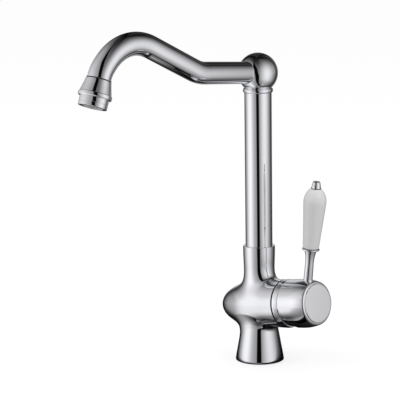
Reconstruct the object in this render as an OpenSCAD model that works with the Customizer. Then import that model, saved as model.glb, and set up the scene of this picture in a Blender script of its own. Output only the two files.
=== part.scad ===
// Single-lever kitchen mixer tap with a tall riser, a ball elbow and a cranked swan spout.
// Millimetres. +Z is up, the spout runs towards -Y and the side valve with its lever towards +X.
// The origin is the centre of the foot's underside, where the tap stands on its worktop.

/* [Foot] */
// Diameter of the foot on the worktop
foot_d = 50.6; // [46:0.2:54]
// Height of the upright lip at the bottom of the foot
foot_lip_h = 3.2; // [1:0.2:5]
// Diameter of the waist between foot and valve barrel
waist_d = 40.4; // [39:0.2:44]
// Height at which the flared foot reaches the waist
waist_h = 27; // [22:0.5:32]
// Diameter of the hollow under the foot
foot_cavity_d = 34; // [32:0.5:36]
// Depth of the hollow under the foot
foot_cavity_h = 16; // [12:0.5:20]
// Mean diameter of the seal under the foot
base_seal_d = 43; // [42:0.5:44]
// Width of the seal under the foot
base_seal_w = 3; // [2:0.2:4]
// Height of the seal under the foot
base_seal_h = 2; // [1.5:0.1:3]

/* [Valve barrel] */
// Height at which the barrel's axis crosses the riser's axis
barrel_h = 60; // [56:0.5:64]
// Rise of the barrel towards the handle, in degrees
barrel_tilt = 9.5; // [5:0.5:12]
// Diameter of the round closed end
dome_d = 45.2; // [44:0.2:47]
// Distance of the round end's centre behind the riser's axis
dome_back = 23.3; // [20:0.1:26]
// Diameter of the barrel at its mouth
mouth_d = 50.2; // [49:0.2:52]
// Distance of the mouth in front of the riser's axis
mouth_s = 41.2; // [39:0.2:44]
// Width of the dark groove between barrel and trim ring
mouth_groove_w = 0.8; // [0.5:0.1:1.2]
// Diameter of the step inside that groove
mouth_step_d = 47; // [46:0.2:48]

/* [Neck] */
// Diameter of the neck at its rim
neck_d = 33.2; // [32:0.2:35]
// Diameter of the neck where it meets the barrel
neck_root_d = 31.8; // [31:0.2:33]
// Height of the neck's rim
neck_h = 122.3; // [118:0.5:128]
// Depth of the wide bore that guides the riser tube
neck_counterbore = 5.3; // [4:0.1:8]
// Bore of the neck
neck_bore_d = 25.2; // [25:0.1:25.6]
// Length of the neck's bore
neck_bore_len = 31; // [30:0.5:33]
// Height of the retaining screw above the bottom of the bore
screw_rise = 22; // [21:0.2:23]
// Diameter of the retaining screw
neck_screw_d = 5; // [4:0.5:5]
// Length of the retaining screw
neck_screw_len = 5; // [4:0.2:5]

/* [Waterways] */
// Bore of each hose inlet, the core of an M10 x 1 thread
inlet_d = 9; // [8:0.1:9.4]
// Distance between the two inlets
inlet_spread = 17; // [15:0.5:18]
// Distance of the inlets in front of the riser's axis
inlet_x = 4; // [2:0.5:6]
// Length of the inlets' thread
inlet_thread_len = 12; // [9:0.5:14]
// Bore for the fixing stud, the core of an M8 thread
stud_d = 6.8; // [6:0.1:7]
// Distance of the stud behind the riser's axis
stud_back = 9.5; // [9:0.5:11]
// Depth of the stud's thread
stud_depth = 18; // [14:1:20]
// Diameter of the drilled channels
channel_d = 7; // [6:0.1:7.2]
// Half the distance between the two inlet ports
port_side = 5.3; // [5.1:0.1:5.8]
// Distance of the inlet ports above the barrel's axis
port_rise = 6; // [5.6:0.1:6.6]
// Distance of the outlet port below the barrel's axis
port_drop = 6; // [5.4:0.1:6.4]
// Distance of the outlet's upright channel behind the riser's axis
outlet_back = 8; // [7.6:0.1:8.4]

/* [Cartridge] */
// Outside diameter of the cartridge
cartridge_d = 34.8; // [34:0.1:35.2]
// Depth of the cartridge's seat below the barrel's mouth
seat_depth = 19.2; // [18:0.2:20]
// Height of the cartridge from its seat to its shoulder
cartridge_h = 21; // [20.4:0.2:22]
// Height of the base plate
base_plate_h = 5; // [4:0.2:5.4]
// Height of the fixed ceramic disc
fixed_disc_h = 3.8; // [3:0.2:4]
// Height of the moving ceramic disc
moving_disc_h = 4.6; // [4:0.2:4.8]
// Diameter of the moving ceramic disc
moving_disc_d = 22; // [20:0.5:22.6]
// Height of the carrier on the moving disc
disc_carrier_h = 4.2; // [3.8:0.1:4.4]
// Wall of the cartridge housing
housing_wall = 1.4; // [1:0.1:1.8]
// Outside diameter of the cartridge's turret
turret_d = 26.4; // [25:0.2:26.8]
// Height of the turret above the shoulder
turret_h = 9.5; // [8:0.1:10]
// Height of the lever's pivot above the shoulder
pivot_rise = 6; // [5.4:0.1:6.4]
// Diameter of the pivot pin
pivot_pin_d = 4; // [3:0.1:4.2]
// Distance from the pivot to the ball that moves the disc
drive_arm = 9.5; // [9:0.1:10]
// Diameter of that ball
drive_ball_d = 6; // [5:0.1:6.4]
// Width of the square shank that carries the handle
shank_w = 7; // [6:0.1:7.6]
// Diameter of the nut's thread in the barrel
nut_d = 39.8; // [39:0.1:40.2]
// Length of the nut's thread
nut_thread_len = 8; // [6:0.2:9]
// Diameter of the nut's flange
nut_flange_d = 42; // [41.2:0.1:42.2]
// Thickness of the nut's flange
nut_flange_h = 1.6; // [1:0.1:1.8]
// Height of the nut's lip above the cartridge's shoulder
nut_lip_h = 2.4; // [1.6:0.1:3]

/* [Trim] */
// Height of the trim ring
trim_h = 5.8; // [5:0.1:6]
// Thickness of the trim ring's web
trim_web = 1.2; // [0.8:0.1:1.4]
// How much the trim ring's radius narrows towards the handle
trim_taper = 1.1; // [0.8:0.1:1.1]
// Diameter of the ball-shaped cover over the cartridge
cover_d = 46.8; // [46.4:0.1:47]
// Wall of that cover
cover_wall = 1.2; // [0.8:0.1:1.2]
// Opening of the cover for the shank
cover_mouth_d = 29; // [28:0.5:30]

/* [Handle cap] */
// Wall of the cap at its open edge
cap_wall = 1.05; // [0.8:0.05:1.4]
// Length of the cap
cap_len = 34.2; // [33:0.2:36]
// Distance of the open edge below the pivot
cap_edge_drop = 1.2; // [0.8:0.1:1.2]
// Radius of the bulge that narrows the cap towards its end
cap_bulge_r = 55; // [50:1:70]
// Distance from the pivot to where the bulge starts
cap_bulge_s = 14; // [12:0.5:18]
// Radius of the rounding at the cap's end
cap_round_r = 2.6; // [1.5:0.1:3]
// Slope of the cut that lets the cap tilt, in degrees
cap_cut_angle = 31; // [30:0.5:33]
// Depth of that cut
cap_cut_depth = 9.6; // [9.4:0.1:10.5]
// Diameter of the inset end disc
end_disc_d = 38.4; // [35:0.2:38.6]
// Thickness of the end disc
end_disc_h = 2; // [1.5:0.1:2.5]
// Diameter of the handle's set screw
set_screw_d = 5; // [4:0.5:6]
// Length of the set screw
set_screw_len = 12; // [10:0.5:14]

/* [Lever] */
// Distance from the pivot to the lever's foot, along the barrel
lever_s = 16.4; // [16:0.2:17]
// Lean of the lever away from square to the barrel, in degrees
lever_lean = 16; // [15:0.5:17]
// Distance from the barrel's axis to the bottom of the lever stem's socket
lever_socket_h = 22.2; // [21.8:0.1:23]
// Diameter of the lever stem at its foot
lever_stem_d = 9.2; // [8.6:0.1:10]
// Diameter of the lever stem at its slimmest
lever_slim_d = 8.7; // [8:0.1:9]
// Diameter of the thread that holds the stem in the cap
lever_tenon_d = 8; // [6:0.1:8]
// Length of that thread
lever_tenon_len = 4.7; // [4:0.1:4.8]
// Distance from the barrel's axis to the underside of the stem's flange
lever_flange_h = 56.4; // [52:0.2:60]
// Diameter of the stem's flange
lever_flange_d = 17.8; // [16.4:0.2:19]
// Thickness of the stem's flange
lever_flange_t = 1.9; // [1.2:0.1:3]
// Length of the trumpet under the flange
trumpet_len = 14; // [10:0.5:18]
// Diameter of the trumpet under the flange
trumpet_d = 13; // [11:0.2:14]
// Diameter of the grip at its bottom
grip_bottom_d = 16.2; // [14:0.2:17]
// Largest diameter of the grip
grip_d = 23.1; // [20:0.1:25]
// Length of the grip's straight taper
grip_taper_len = 47.3; // [42:0.1:52]
// Height that the grip's rounded top would have without its flat
grip_crown_h = 15.5; // [12:0.5:20]
// Diameter of the grip's flat top
grip_top_d = 10.6; // [9.8:0.2:12]
// Diameter of the finial at its bottom
finial_d = 9.6; // [8.6:0.1:11]
// Diameter of the finial at its top
finial_top_d = 7.2; // [6.6:0.1:8]
// Height of the finial
finial_h = 7; // [6:0.2:9]
// Diameter of the tie rod inside the grip
tie_rod_d = 5; // [4:0.1:5.4]
// Thickness of the washers at the grip's ends
grip_washer_t = 0.5; // [0.3:0.1:1]

/* [Riser] */
// Outside diameter of the riser tube
riser_d = 28; // [27.6:0.1:28.4]
// Wall of the riser tube
riser_wall = 1.1; // [0.9:0.1:1.4]
// Height of the top of the riser tube
riser_top = 283.4; // [260:1:300]
// Diameter of the spigot that turns in the neck
spigot_d = 23.8; // [23:0.1:24]
// Bore of the spigot
spigot_bore_d = 16.4; // [14:0.2:17]
// Length of the plug inside the riser tube
plug_len = 12; // [8:0.5:16]
// Thickness of the flange between spigot and tube
spigot_flange_h = 1.2; // [0.8:0.1:2]
// Cord diameter of the spigot's O-rings
o_ring_cord = 2.5; // [2:0.1:2.6]
// Height of each bearing ring on the spigot
bush_h = 4; // [3:0.1:4.4]
// Thickness of the slip washer under the riser
slip_washer_h = 1.15; // [0.8:0.05:1.5]

/* [Ball elbow] */
// Diameter of the ball
ball_d = 41; // [40:0.2:44]
// Height of the ball's centre above the top of the collar
ball_rise = 15.2; // [14.6:0.1:16]
// Diameter of the water chamber in the ball
ball_chamber_d = 26; // [22:0.5:27]
// Diameter of the collar under the ball
collar_d = 30.9; // [29.6:0.1:32]
// Height of the collar
collar_h = 4.9; // [4:0.1:6]
// Length of the ball's plug inside the riser tube
ball_plug_len = 11; // [6:0.5:16]

/* [Spout arm] */
// Outside diameter of the arm's tube
arm_d = 22.5; // [21.6:0.1:22.8]
// Wall of the arm's tube
arm_wall = 1.1; // [0.9:0.1:1.4]
// Rise of the first straight run, in degrees
arm_rise_a = 3.6; // [0:0.1:6]
// Length of the first straight run from the ball's centre
arm_run = 75.4; // [70:0.2:90]
// Radius of the upward bend
arm_up_r = 46; // [40:1:60]
// Slope of the second straight run, in degrees
arm_slope_a = 24.4; // [20:0.2:28]
// Length of the second straight run
arm_slope_len = 61.4; // [50:0.2:75]
// Radius of the downward bend
arm_down_r = 48.3; // [42:0.1:56]
// Direction below the horizontal where the downward bend ends, in degrees
arm_down_a = 48; // [44:0.5:56]
// Length of the short straight run above the outlet's bend
arm_tip_run = 2.5; // [2:0.1:5]
// Radius of the tighter bend into the outlet
arm_tip_r = 34.7; // [28:0.1:42]
// Direction of the outlet below the horizontal, in degrees
arm_outlet_a = 70.5; // [66:0.5:75]
// Distance from the ball's centre to the start of the tube
arm_start = 12; // [11.4:0.1:13]
// Length of tube inside the nozzle
arm_socket = 4; // [3:0.1:4.2]

/* [Nozzle] */
// Diameter of the nozzle's upper edge
nozzle_top_d = 23.1; // [23:0.1:24]
// Diameter of the nozzle above its bead
nozzle_cone_d = 30.6; // [30:0.1:32]
// Length of the nozzle's cone
nozzle_cone_len = 14.2; // [13:0.1:16]
// Diameter of the bead
nozzle_bead_d = 31.8; // [31.4:0.1:33]
// Width of the bead
nozzle_bead_w = 3.6; // [3:0.1:4.4]
// Diameter of the waterway through the nozzle
nozzle_bore_d = 19; // [17:0.2:19.6]
// Depth of the aerator's thread in the nozzle
aerator_thread_len = 7.4; // [6:0.1:8]
// Diameter of the aerator's thread
aerator_thread_d = 24; // [23:0.1:24.4]

/* [Aerator] */
// Outside diameter of the aerator's housing
aerator_d = 27.4; // [27:0.1:28]
// Visible length of the aerator's housing
aerator_len = 8.8; // [8:0.1:12]
// Bore of the aerator's housing
aerator_bore_d = 21.8; // [20:0.1:22]
// Width of the lip that keeps the insert in
aerator_lip_w = 0.9; // [0.5:0.1:1.2]
// Height of that lip
aerator_lip_h = 1; // [0.8:0.1:1.5]
// Height of the aerator's insert
insert_h = 11; // [9:0.1:12]
// Diameter of the holes in the insert
insert_hole_d = 2.2; // [1.4:0.1:2.4]
// Number of holes in the insert's outer circle
insert_holes = 14; // [10:1:14]
// Thickness of the screen
screen_h = 0.7; // [0.5:0.1:1]
// Thickness of the aerator's gasket
gasket_h = 1.2; // [0.8:0.1:1.6]

/* [Fits] */
// Radial clearance of turning fits
run_fit = 0.07; // [0.05:0.01:0.1]
// Clearance of pieces that are screwed or soldered together
still_fit = 0.05; // [0.03:0.01:0.1]
// Gap between the cap and the cover that it moves over
cap_gap = 0.35; // [0.3:0.05:0.5]
// Room for the ball in its pocket
drive_gap = 0.35; // [0.25:0.05:0.4]

/* [Hidden] */
$fn = 96;
// Steps along each curve of an outline
STEPS = 10;
// How far a cutter runs past the face that it opens
OVER = 1;

// Stations along the barrel, measured from the riser's axis
seat_s = mouth_s - seat_depth;
shoulder_s = seat_s + cartridge_h;
pivot_s = shoulder_s + pivot_rise;
disc_s = seat_s + base_plate_h + still_fit;
moving_s = disc_s + fixed_disc_h + still_fit;
carrier_s = moving_s + moving_disc_h + still_fit;
nut_thread_s = mouth_s - nut_thread_len;
web_top_s = mouth_s + trim_web;
nut_top_s = shoulder_s + still_fit + nut_lip_h;

// Radii of the cartridge and what holds it
cartridge_r = cartridge_d / 2;
housing_r = cartridge_r - housing_wall;
turret_r = turret_d / 2;
rotor_r = turret_r - housing_wall - run_fit;
rotor_flange_r = housing_r - 0.2;
rotor_flange_h = 1.5;
shoulder_t = 1.2;
rotor_flange_top_s = shoulder_s - shoulder_t - run_fit;
rotor_top_s = shoulder_s + turret_h + 0.7;
seat_bore_r = cartridge_r + 0.2;
port_r = channel_d / 2 - 0.6;
seal_w = 1.4;
seal_h = 1.5;
seal_pocket_h = seal_h + 0.1;
slot_w = shank_w + 2 * run_fit + 0.1;
slot_half = rotor_r - 3.6;

// Radii and stations of cap and cover, from the pivot
cover_r = cover_d / 2;
cavity_r = cover_r + cap_gap;
cap_r = cavity_r + cap_wall;
cap_end = cap_len - cap_edge_drop;
end_disc_r = end_disc_d / 2;
end_recess_r = end_disc_r + 0.15;
end_disc_bottom = cap_end - end_disc_h;
set_screw_s = (cavity_r + end_disc_bottom) / 2;

// Heights in the neck and the riser
bore_bottom = neck_h - neck_counterbore - neck_bore_len;
counterbore_z = neck_h - neck_counterbore;
spigot_flange_z = counterbore_z + slip_washer_h + run_fit;
riser_bottom = spigot_flange_z + spigot_flange_h;
spigot_bottom = bore_bottom + 1;
screw_z = bore_bottom + screw_rise;
riser_r = riser_d / 2;
riser_bore_r = riser_r - riser_wall;
neck_bore_r = neck_bore_d / 2;
spigot_r = spigot_d / 2;
o_ring_r = neck_bore_r - run_fit - o_ring_cord / 2;
o_ring_groove_r = o_ring_r - o_ring_cord / 2 - still_fit;
o_ring_groove_h = o_ring_cord + 0.3;
o_ring_gaps = [8.6, 13.2];
bush_gaps = [2.4, 26.4];
bush_wall = 1.6;
bush_r = neck_bore_r - run_fit;
screw_tip_y = spigot_r - 1.3;
screw_groove_r = screw_tip_y - 0.25;
screw_groove_h = neck_screw_d + 0.4;

// The ball elbow and the arm's path: u runs forward from the riser, v upward
ball_r = ball_d / 2;
collar_top = riser_top + 2.4;
ball_z = collar_top + ball_rise;
ball_plug_r = riser_bore_r - still_fit;
arm_r = arm_d / 2;
arm_bore_r = arm_r - arm_wall;
bend_lap = 0.1;
bend_draw = 0.05;
function turn(a) = [cos(a), sin(a)];
p_run = [0, ball_z] + arm_run * turn(arm_rise_a);
c_up = p_run + arm_up_r * turn(arm_rise_a + 90);
p_up = c_up + arm_up_r * turn(arm_slope_a - 90);
p_slope = p_up + arm_slope_len * turn(arm_slope_a);
c_down = p_slope + arm_down_r * turn(arm_slope_a - 90);
p_down = c_down + arm_down_r * turn(90 - arm_down_a);
p_tip = p_down + arm_tip_run * turn(-arm_down_a);
c_tip = p_tip + arm_tip_r * turn(-arm_down_a - 90);
p_end = c_tip + arm_tip_r * turn(90 - arm_outlet_a);

// Stations along the outlet, from the nozzle's upper edge
thread_top = nozzle_cone_len + nozzle_bead_w + 0.5 - aerator_thread_len - gasket_h;
nozzle_end = nozzle_cone_len + nozzle_bead_w + 0.5;
aerator_top = thread_top + gasket_h;
aerator_end = nozzle_end + aerator_len;
aerator_thread_r = aerator_thread_d / 2;
aerator_bore_r = aerator_bore_d / 2;
insert_top = aerator_end - aerator_lip_h - insert_h;
insert_r = aerator_bore_r - still_fit;

// Stations along the lever, from the barrel's axis
grip_bottom = lever_flange_h + lever_flange_t + grip_washer_t;
grip_top_a = acos(grip_top_d / grip_d);
grip_top = grip_bottom + grip_taper_len + grip_crown_h * sin(grip_top_a);
finial_bottom = grip_top + grip_washer_t;
tie_rod_r = tie_rod_d / 2;
tie_rod_bottom = lever_flange_h - 6;
tie_rod_top = finial_bottom + finial_h - 2.4;

CHROME = [0.78, 0.79, 0.81];
BRASS = [0.80, 0.66, 0.35];
STEEL = [0.62, 0.63, 0.65];
CERAMIC = [0.93, 0.93, 0.94];
ALUMINA = [0.88, 0.86, 0.80];
RUBBER = [0.12, 0.12, 0.12];
POM = [0.82, 0.82, 0.78];
GREY_PLASTIC = [0.55, 0.56, 0.58];

// Points of an arc, for outlines
function arc(centre, r, from, to) =
    [for (i = [0 : STEPS]) centre + r * turn(from + (to - from) * i / STEPS)];

// Turns what is drawn along +Z into the barrel's direction; s is the distance from the riser's axis
module along_barrel(s = 0) {
    translate([0, 0, barrel_h])
        rotate([0, 90 - barrel_tilt, 0])
            translate([0, 0, s])
                children();
}

// The lever's own direction, upward and leaning away from the riser
module along_lever() {
    along_barrel(pivot_s + lever_s)
        rotate([0, lever_lean - 90, 0])
            children();
}

// The upright plane of the spout: X becomes forward and Y becomes up
module in_spout_plane() {
    rotate([90, 0, -90])
        children();
}

// The outlet's own direction, downstream from the nozzle's upper edge
module along_outlet(s = 0) {
    in_spout_plane()
        translate([p_end.x, p_end.y, 0])
            rotate([0, 90, -arm_outlet_a])
                translate([0, 0, s])
                    children();
}

module ring(outer_r, inner_r, h) {
    rotate_extrude()
        translate([inner_r, 0])
            square([outer_r - inner_r, h]);
}

// The cartridge's three waterways, drawn where each child says
module at_ports() {
    for (side = [-1, 1])
        translate([-port_rise, side * port_side, 0])
            children();
    translate([port_drop, 0, 0])
        children();
}

// ---- Body ----

module foot_form() {
    chamfer = 0.6;
    rotate_extrude()
        polygon([
            [0, 0],
            [foot_d / 2 - chamfer, 0],
            [foot_d / 2, chamfer],
            [foot_d / 2, foot_lip_h],
            [waist_d / 2, waist_h],
            [waist_d / 2, barrel_h],
            [0, barrel_h]
        ]);
}

module neck_form() {
    chamfer = 0.6;
    rotate_extrude()
        polygon([
            [0, barrel_h],
            [neck_root_d / 2, barrel_h],
            [neck_root_d / 2, barrel_h + (neck_h - barrel_h) * 0.6],
            [neck_d / 2, neck_h - 4],
            [neck_d / 2, neck_h - chamfer],
            [neck_d / 2 - chamfer, neck_h],
            [0, neck_h]
        ]);
}

module barrel_form() {
    r = dome_d / 2;
    along_barrel(-dome_back)
        rotate_extrude() {
            intersection() {
                circle(r = r);
                translate([0, -r - OVER])
                    square([r + OVER, r + OVER]);
            }
            polygon([[0, 0], [r, 0], [mouth_d / 2, dome_back + mouth_s], [0, dome_back + mouth_s]]);
        }
}

module waterways() {
    r = channel_d / 2;
    drill_past = r + 1;
    inlet_top = barrel_h + port_rise / cos(barrel_tilt) + inlet_x * tan(barrel_tilt);
    outlet_low = barrel_h - port_drop / cos(barrel_tilt) - outlet_back * tan(barrel_tilt);
    outlet_s = (outlet_back + port_drop * sin(barrel_tilt)) / cos(barrel_tilt);
    for (side = [-1, 1]) {
        translate([inlet_x, side * inlet_spread / 2, foot_cavity_h - OVER])
            cylinder(d = inlet_d, h = inlet_thread_len + OVER);
        translate([inlet_x, side * inlet_spread / 2, foot_cavity_h])
            cylinder(r = r, h = inlet_top + drill_past - foot_cavity_h);
        along_barrel()
            translate([-port_rise, side * port_side, 0])
                cylinder(r = r, h = seat_s + OVER);
    }
    along_barrel(-outlet_s - drill_past)
        translate([port_drop, 0, 0])
            cylinder(r = r, h = outlet_s + drill_past + seat_s + OVER);
    translate([-outlet_back, 0, outlet_low - drill_past])
        cylinder(r = r, h = bore_bottom - outlet_low + drill_past + OVER);
}

module body_casting() {
    color(CHROME)
        difference() {
            union() {
                foot_form();
                neck_form();
                barrel_form();
            }
            // Hollow under the foot, groove for its seal, and the stud's thread
            translate([0, 0, -OVER])
                cylinder(d = foot_cavity_d, h = foot_cavity_h + OVER);
            translate([0, 0, -OVER])
                ring(base_seal_d / 2 + base_seal_w / 2, base_seal_d / 2 - base_seal_w / 2,
                    base_seal_h + OVER);
            translate([-stud_back, 0, foot_cavity_h - OVER])
                cylinder(d = stud_d, h = stud_depth + OVER);
            waterways();
            // Bores of the neck
            translate([0, 0, bore_bottom])
                cylinder(r = neck_bore_r, h = neck_bore_len + OVER);
            translate([0, 0, counterbore_z])
                cylinder(r = riser_r + run_fit, h = neck_counterbore + OVER);
            translate([0, 0, screw_z])
                rotate([-90, 0, 0])
                    cylinder(d = neck_screw_d + 2 * still_fit, h = neck_d);
            // Seat and thread of the cartridge, and the groove round the mouth
            along_barrel(seat_s)
                cylinder(r = seat_bore_r, h = seat_depth + OVER);
            along_barrel(nut_thread_s)
                cylinder(d = nut_d + 2 * still_fit, h = nut_thread_len + OVER);
            along_barrel(mouth_s - mouth_groove_w)
                ring(mouth_d, mouth_step_d / 2, mouth_groove_w + OVER);
        }
}

module base_seal() {
    color(RUBBER)
        ring(base_seal_d / 2 + base_seal_w / 2 - still_fit,
            base_seal_d / 2 - base_seal_w / 2 + still_fit, base_seal_h);
}

module trim_ring() {
    outer = mouth_d / 2;
    color(CHROME)
        along_barrel(mouth_s)
            rotate_extrude()
                polygon(concat(
                    [[nut_d / 2 + 0.4 + still_fit, 0]],
                    [for (i = [0 : STEPS])
                        [outer - trim_taper * pow(i / STEPS, 1.5), trim_h * i / STEPS]],
                    [[cover_r + 0.05, trim_h], [cover_r + 0.05, trim_web],
                        [nut_d / 2 + 0.4 + still_fit, trim_web]]
                ));
}

module cartridge_cover() {
    color(CHROME)
        along_barrel(pivot_s)
            rotate_extrude()
                intersection() {
                    difference() {
                        circle(r = cover_r);
                        circle(r = cover_r - cover_wall);
                        translate([0, 0])
                            square([cover_mouth_d / 2, cover_d]);
                    }
                    translate([0, web_top_s - pivot_s])
                        square([cover_d, cover_d]);
                }
}

module cartridge_nut() {
    notches = 6;
    notch_w = 4;
    color(BRASS)
        difference() {
            union() {
                along_barrel(nut_thread_s)
                    cylinder(d = nut_d, h = nut_thread_len);
                along_barrel(mouth_s)
                    cylinder(d = nut_d + 0.8, h = trim_web);
                along_barrel(web_top_s)
                    cylinder(d = nut_flange_d, h = nut_flange_h);
                along_barrel(web_top_s)
                    cylinder(d = nut_flange_d - 4, h = nut_top_s - web_top_s);
            }
            along_barrel(nut_thread_s - OVER)
                cylinder(r = cartridge_r + still_fit, h = shoulder_s + still_fit - nut_thread_s + OVER);
            along_barrel(shoulder_s)
                cylinder(r = turret_r + still_fit, h = nut_lip_h + OVER);
            along_barrel(web_top_s - OVER / 2)
                for (i = [0 : notches - 1])
                    rotate([0, 0, i * 360 / notches])
                        translate([nut_flange_d / 2 - 1.4, -notch_w / 2, OVER])
                            cube([notch_w, notch_w, nut_flange_h + OVER]);
        }
}

module cartridge_base() {
    color(GREY_PLASTIC)
        along_barrel(seat_s)
            difference() {
                cylinder(r = cartridge_r, h = base_plate_h);
                at_ports() {
                    translate([0, 0, -OVER])
                        cylinder(r = port_r, h = base_plate_h + 2 * OVER);
                    translate([0, 0, -OVER])
                        cylinder(r = port_r + seal_w + still_fit, h = seal_pocket_h + OVER);
                }
            }
}

module cartridge_seals() {
    color(RUBBER)
        along_barrel(seat_s)
            at_ports()
                ring(port_r + seal_w, port_r + still_fit, seal_h);
}

module fixed_disc() {
    color(ALUMINA)
        along_barrel(disc_s)
            difference() {
                cylinder(r = housing_r - still_fit, h = fixed_disc_h);
                at_ports()
                    translate([0, 0, -OVER])
                        cylinder(r = port_r, h = fixed_disc_h + 2 * OVER);
            }
}

module cartridge_housing() {
    color(GREY_PLASTIC)
        along_barrel(disc_s)
            difference() {
                union() {
                    cylinder(r = cartridge_r, h = shoulder_s - disc_s);
                    cylinder(r = turret_r, h = shoulder_s + turret_h - disc_s);
                }
                translate([0, 0, -OVER])
                    cylinder(r = housing_r, h = shoulder_s - shoulder_t - disc_s + OVER);
                cylinder(r = rotor_r + run_fit, h = shoulder_s + turret_h - disc_s + OVER);
            }
}

module neck_screw() {
    socket_d = 2.8;
    color(STEEL)
        translate([0, screw_tip_y, screw_z])
            rotate([-90, 0, 0])
                difference() {
                    cylinder(d = neck_screw_d, h = neck_screw_len);
                    translate([0, 0, neck_screw_len / 2])
                        cylinder(d = socket_d, h = neck_screw_len, $fn = 6);
                }
}

module slip_washer() {
    color(POM)
        translate([0, 0, counterbore_z])
            ring(riser_r, neck_bore_r + still_fit, slip_washer_h);
}

// ---- Turning and sliding parts of the cartridge ----

module cartridge_rotor() {
    flange_bottom = rotor_flange_top_s - rotor_flange_h;
    color(POM)
        difference() {
            union() {
                along_barrel(flange_bottom)
                    cylinder(r = rotor_flange_r, h = rotor_flange_h);
                along_barrel(flange_bottom)
                    cylinder(r = rotor_r, h = rotor_top_s - flange_bottom);
            }
            along_barrel(flange_bottom - OVER)
                translate([-slot_half, -slot_w / 2, 0])
                    cube([2 * slot_half, slot_w, rotor_top_s - flange_bottom + 2 * OVER]);
            along_barrel(pivot_s)
                rotate([90, 0, 0])
                    cylinder(d = pivot_pin_d + still_fit, h = 2 * rotor_r + OVER, center = true);
        }
}

module pivot_pin() {
    pin_len = 2 * sqrt(pow(rotor_r, 2) - pow(pivot_pin_d / 2, 2)) - 0.6;
    color(STEEL)
        along_barrel(pivot_s)
            rotate([90, 0, 0])
                cylinder(d = pivot_pin_d, h = pin_len, center = true);
}

module moving_disc() {
    chamber_d = 12;
    chamber_drop = 3.5;
    chamber_h = 2.4;
    color(ALUMINA)
        along_barrel(moving_s)
            difference() {
                cylinder(d = moving_disc_d, h = moving_disc_h);
                translate([chamber_drop, 0, -OVER])
                    cylinder(d = chamber_d, h = chamber_h + OVER);
            }
}

module disc_carrier() {
    pocket_r = drive_ball_d / 2 + drive_gap;
    color(POM)
        along_barrel(carrier_s)
            difference() {
                cylinder(d = moving_disc_d, h = disc_carrier_h);
                translate([0, 0, pivot_s - drive_arm - drive_ball_d / 2 - drive_gap - carrier_s])
                    cylinder(r = pocket_r, h = disc_carrier_h + OVER);
            }
}

// ---- Handle ----

module cartridge_shank() {
    neck_r = 2.4;
    eye_r = shank_w / 2 + 0.7;
    color(STEEL)
        along_barrel(pivot_s)
            difference() {
                union() {
                    translate([0, 0, -drive_arm])
                        sphere(d = drive_ball_d);
                    translate([0, 0, -drive_arm])
                        cylinder(r = neck_r, h = drive_arm);
                    rotate([90, 0, 0])
                        cylinder(r = eye_r, h = shank_w, center = true);
                    translate([-shank_w / 2, -shank_w / 2, 0])
                        cube([shank_w, shank_w, end_disc_bottom - 0.6]);
                }
                rotate([90, 0, 0])
                    cylinder(d = pivot_pin_d + 2 * run_fit, h = 2 * shank_w, center = true);
            }
}

module cap_form() {
    bulge_centre = [cap_r - cap_bulge_r, cap_bulge_s];
    bulge_a = asin((cap_end - cap_round_r - cap_bulge_s) / cap_bulge_r);
    corner = bulge_centre + cap_bulge_r * turn(bulge_a);
    rotate_extrude()
        polygon(concat(
            [[0, -cap_edge_drop], [cap_r, -cap_edge_drop]],
            arc(bulge_centre, cap_bulge_r, 0, bulge_a),
            arc([corner.x - cap_round_r, corner.y], cap_round_r, bulge_a, 90),
            [[0, cap_end]]
        ));
}

// The cap's hollow: a ball about the pivot, straight below the pivot's level
module cap_cavity() {
    below = cap_edge_drop + OVER;
    rotate_extrude()
        intersection() {
            union() {
                circle(r = cavity_r);
                translate([0, -below])
                    square([cavity_r, below]);
            }
            translate([0, -below])
                square([cavity_r + OVER, below + cavity_r + OVER]);
        }
}

// The cap's open edge is cut back on its lower side, so that the lever can be pulled outward
module cap_cut() {
    start = 1;
    run = cap_cut_depth / tan(cap_cut_angle);
    far = cap_r + OVER;
    rotate([90, 0, 0])
        linear_extrude(height = 2 * far, center = true)
            polygon([
                [start, -cap_edge_drop - OVER],
                [start, -cap_edge_drop],
                [start + run, cap_cut_depth - cap_edge_drop],
                [far, cap_cut_depth - cap_edge_drop],
                [far, -cap_edge_drop - OVER]
            ]);
}

module handle_cap() {
    hole_w = shank_w + 2 * still_fit;
    color(CHROME)
        difference() {
            along_barrel(pivot_s)
                difference() {
                    cap_form();
                    cap_cavity();
                    cap_cut();
                    translate([0, 0, end_disc_bottom])
                        cylinder(r = end_recess_r, h = end_disc_h + OVER);
                    translate([-hole_w / 2, -hole_w / 2, 0])
                        cube([hole_w, hole_w, end_disc_bottom - 0.5]);
                    translate([0, 0, set_screw_s])
                        rotate([0, 90, 0])
                            cylinder(d = set_screw_d + 2 * still_fit, h = cap_r + OVER);
                }
            along_lever()
                translate([0, 0, lever_socket_h])
                    cylinder(d = lever_stem_d + 2 * still_fit, h = cap_r);
            along_lever()
                translate([0, 0, lever_socket_h - lever_tenon_len - 0.2])
                    cylinder(d = lever_tenon_d + 2 * still_fit, h = lever_tenon_len + OVER);
        }
}

module handle_end_disc() {
    color(CHROME)
        along_barrel(pivot_s + end_disc_bottom)
            cylinder(r = end_disc_r, h = end_disc_h);
}

module handle_set_screw() {
    socket_d = 2.8;
    color(STEEL)
        along_barrel(pivot_s + set_screw_s)
            rotate([0, 90, 0])
                translate([0, 0, shank_w / 2 + still_fit])
                    difference() {
                        cylinder(d = set_screw_d, h = set_screw_len);
                        translate([0, 0, set_screw_len - 3])
                            cylinder(d = socket_d, h = 3 + OVER, $fn = 6);
                    }
}

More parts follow.
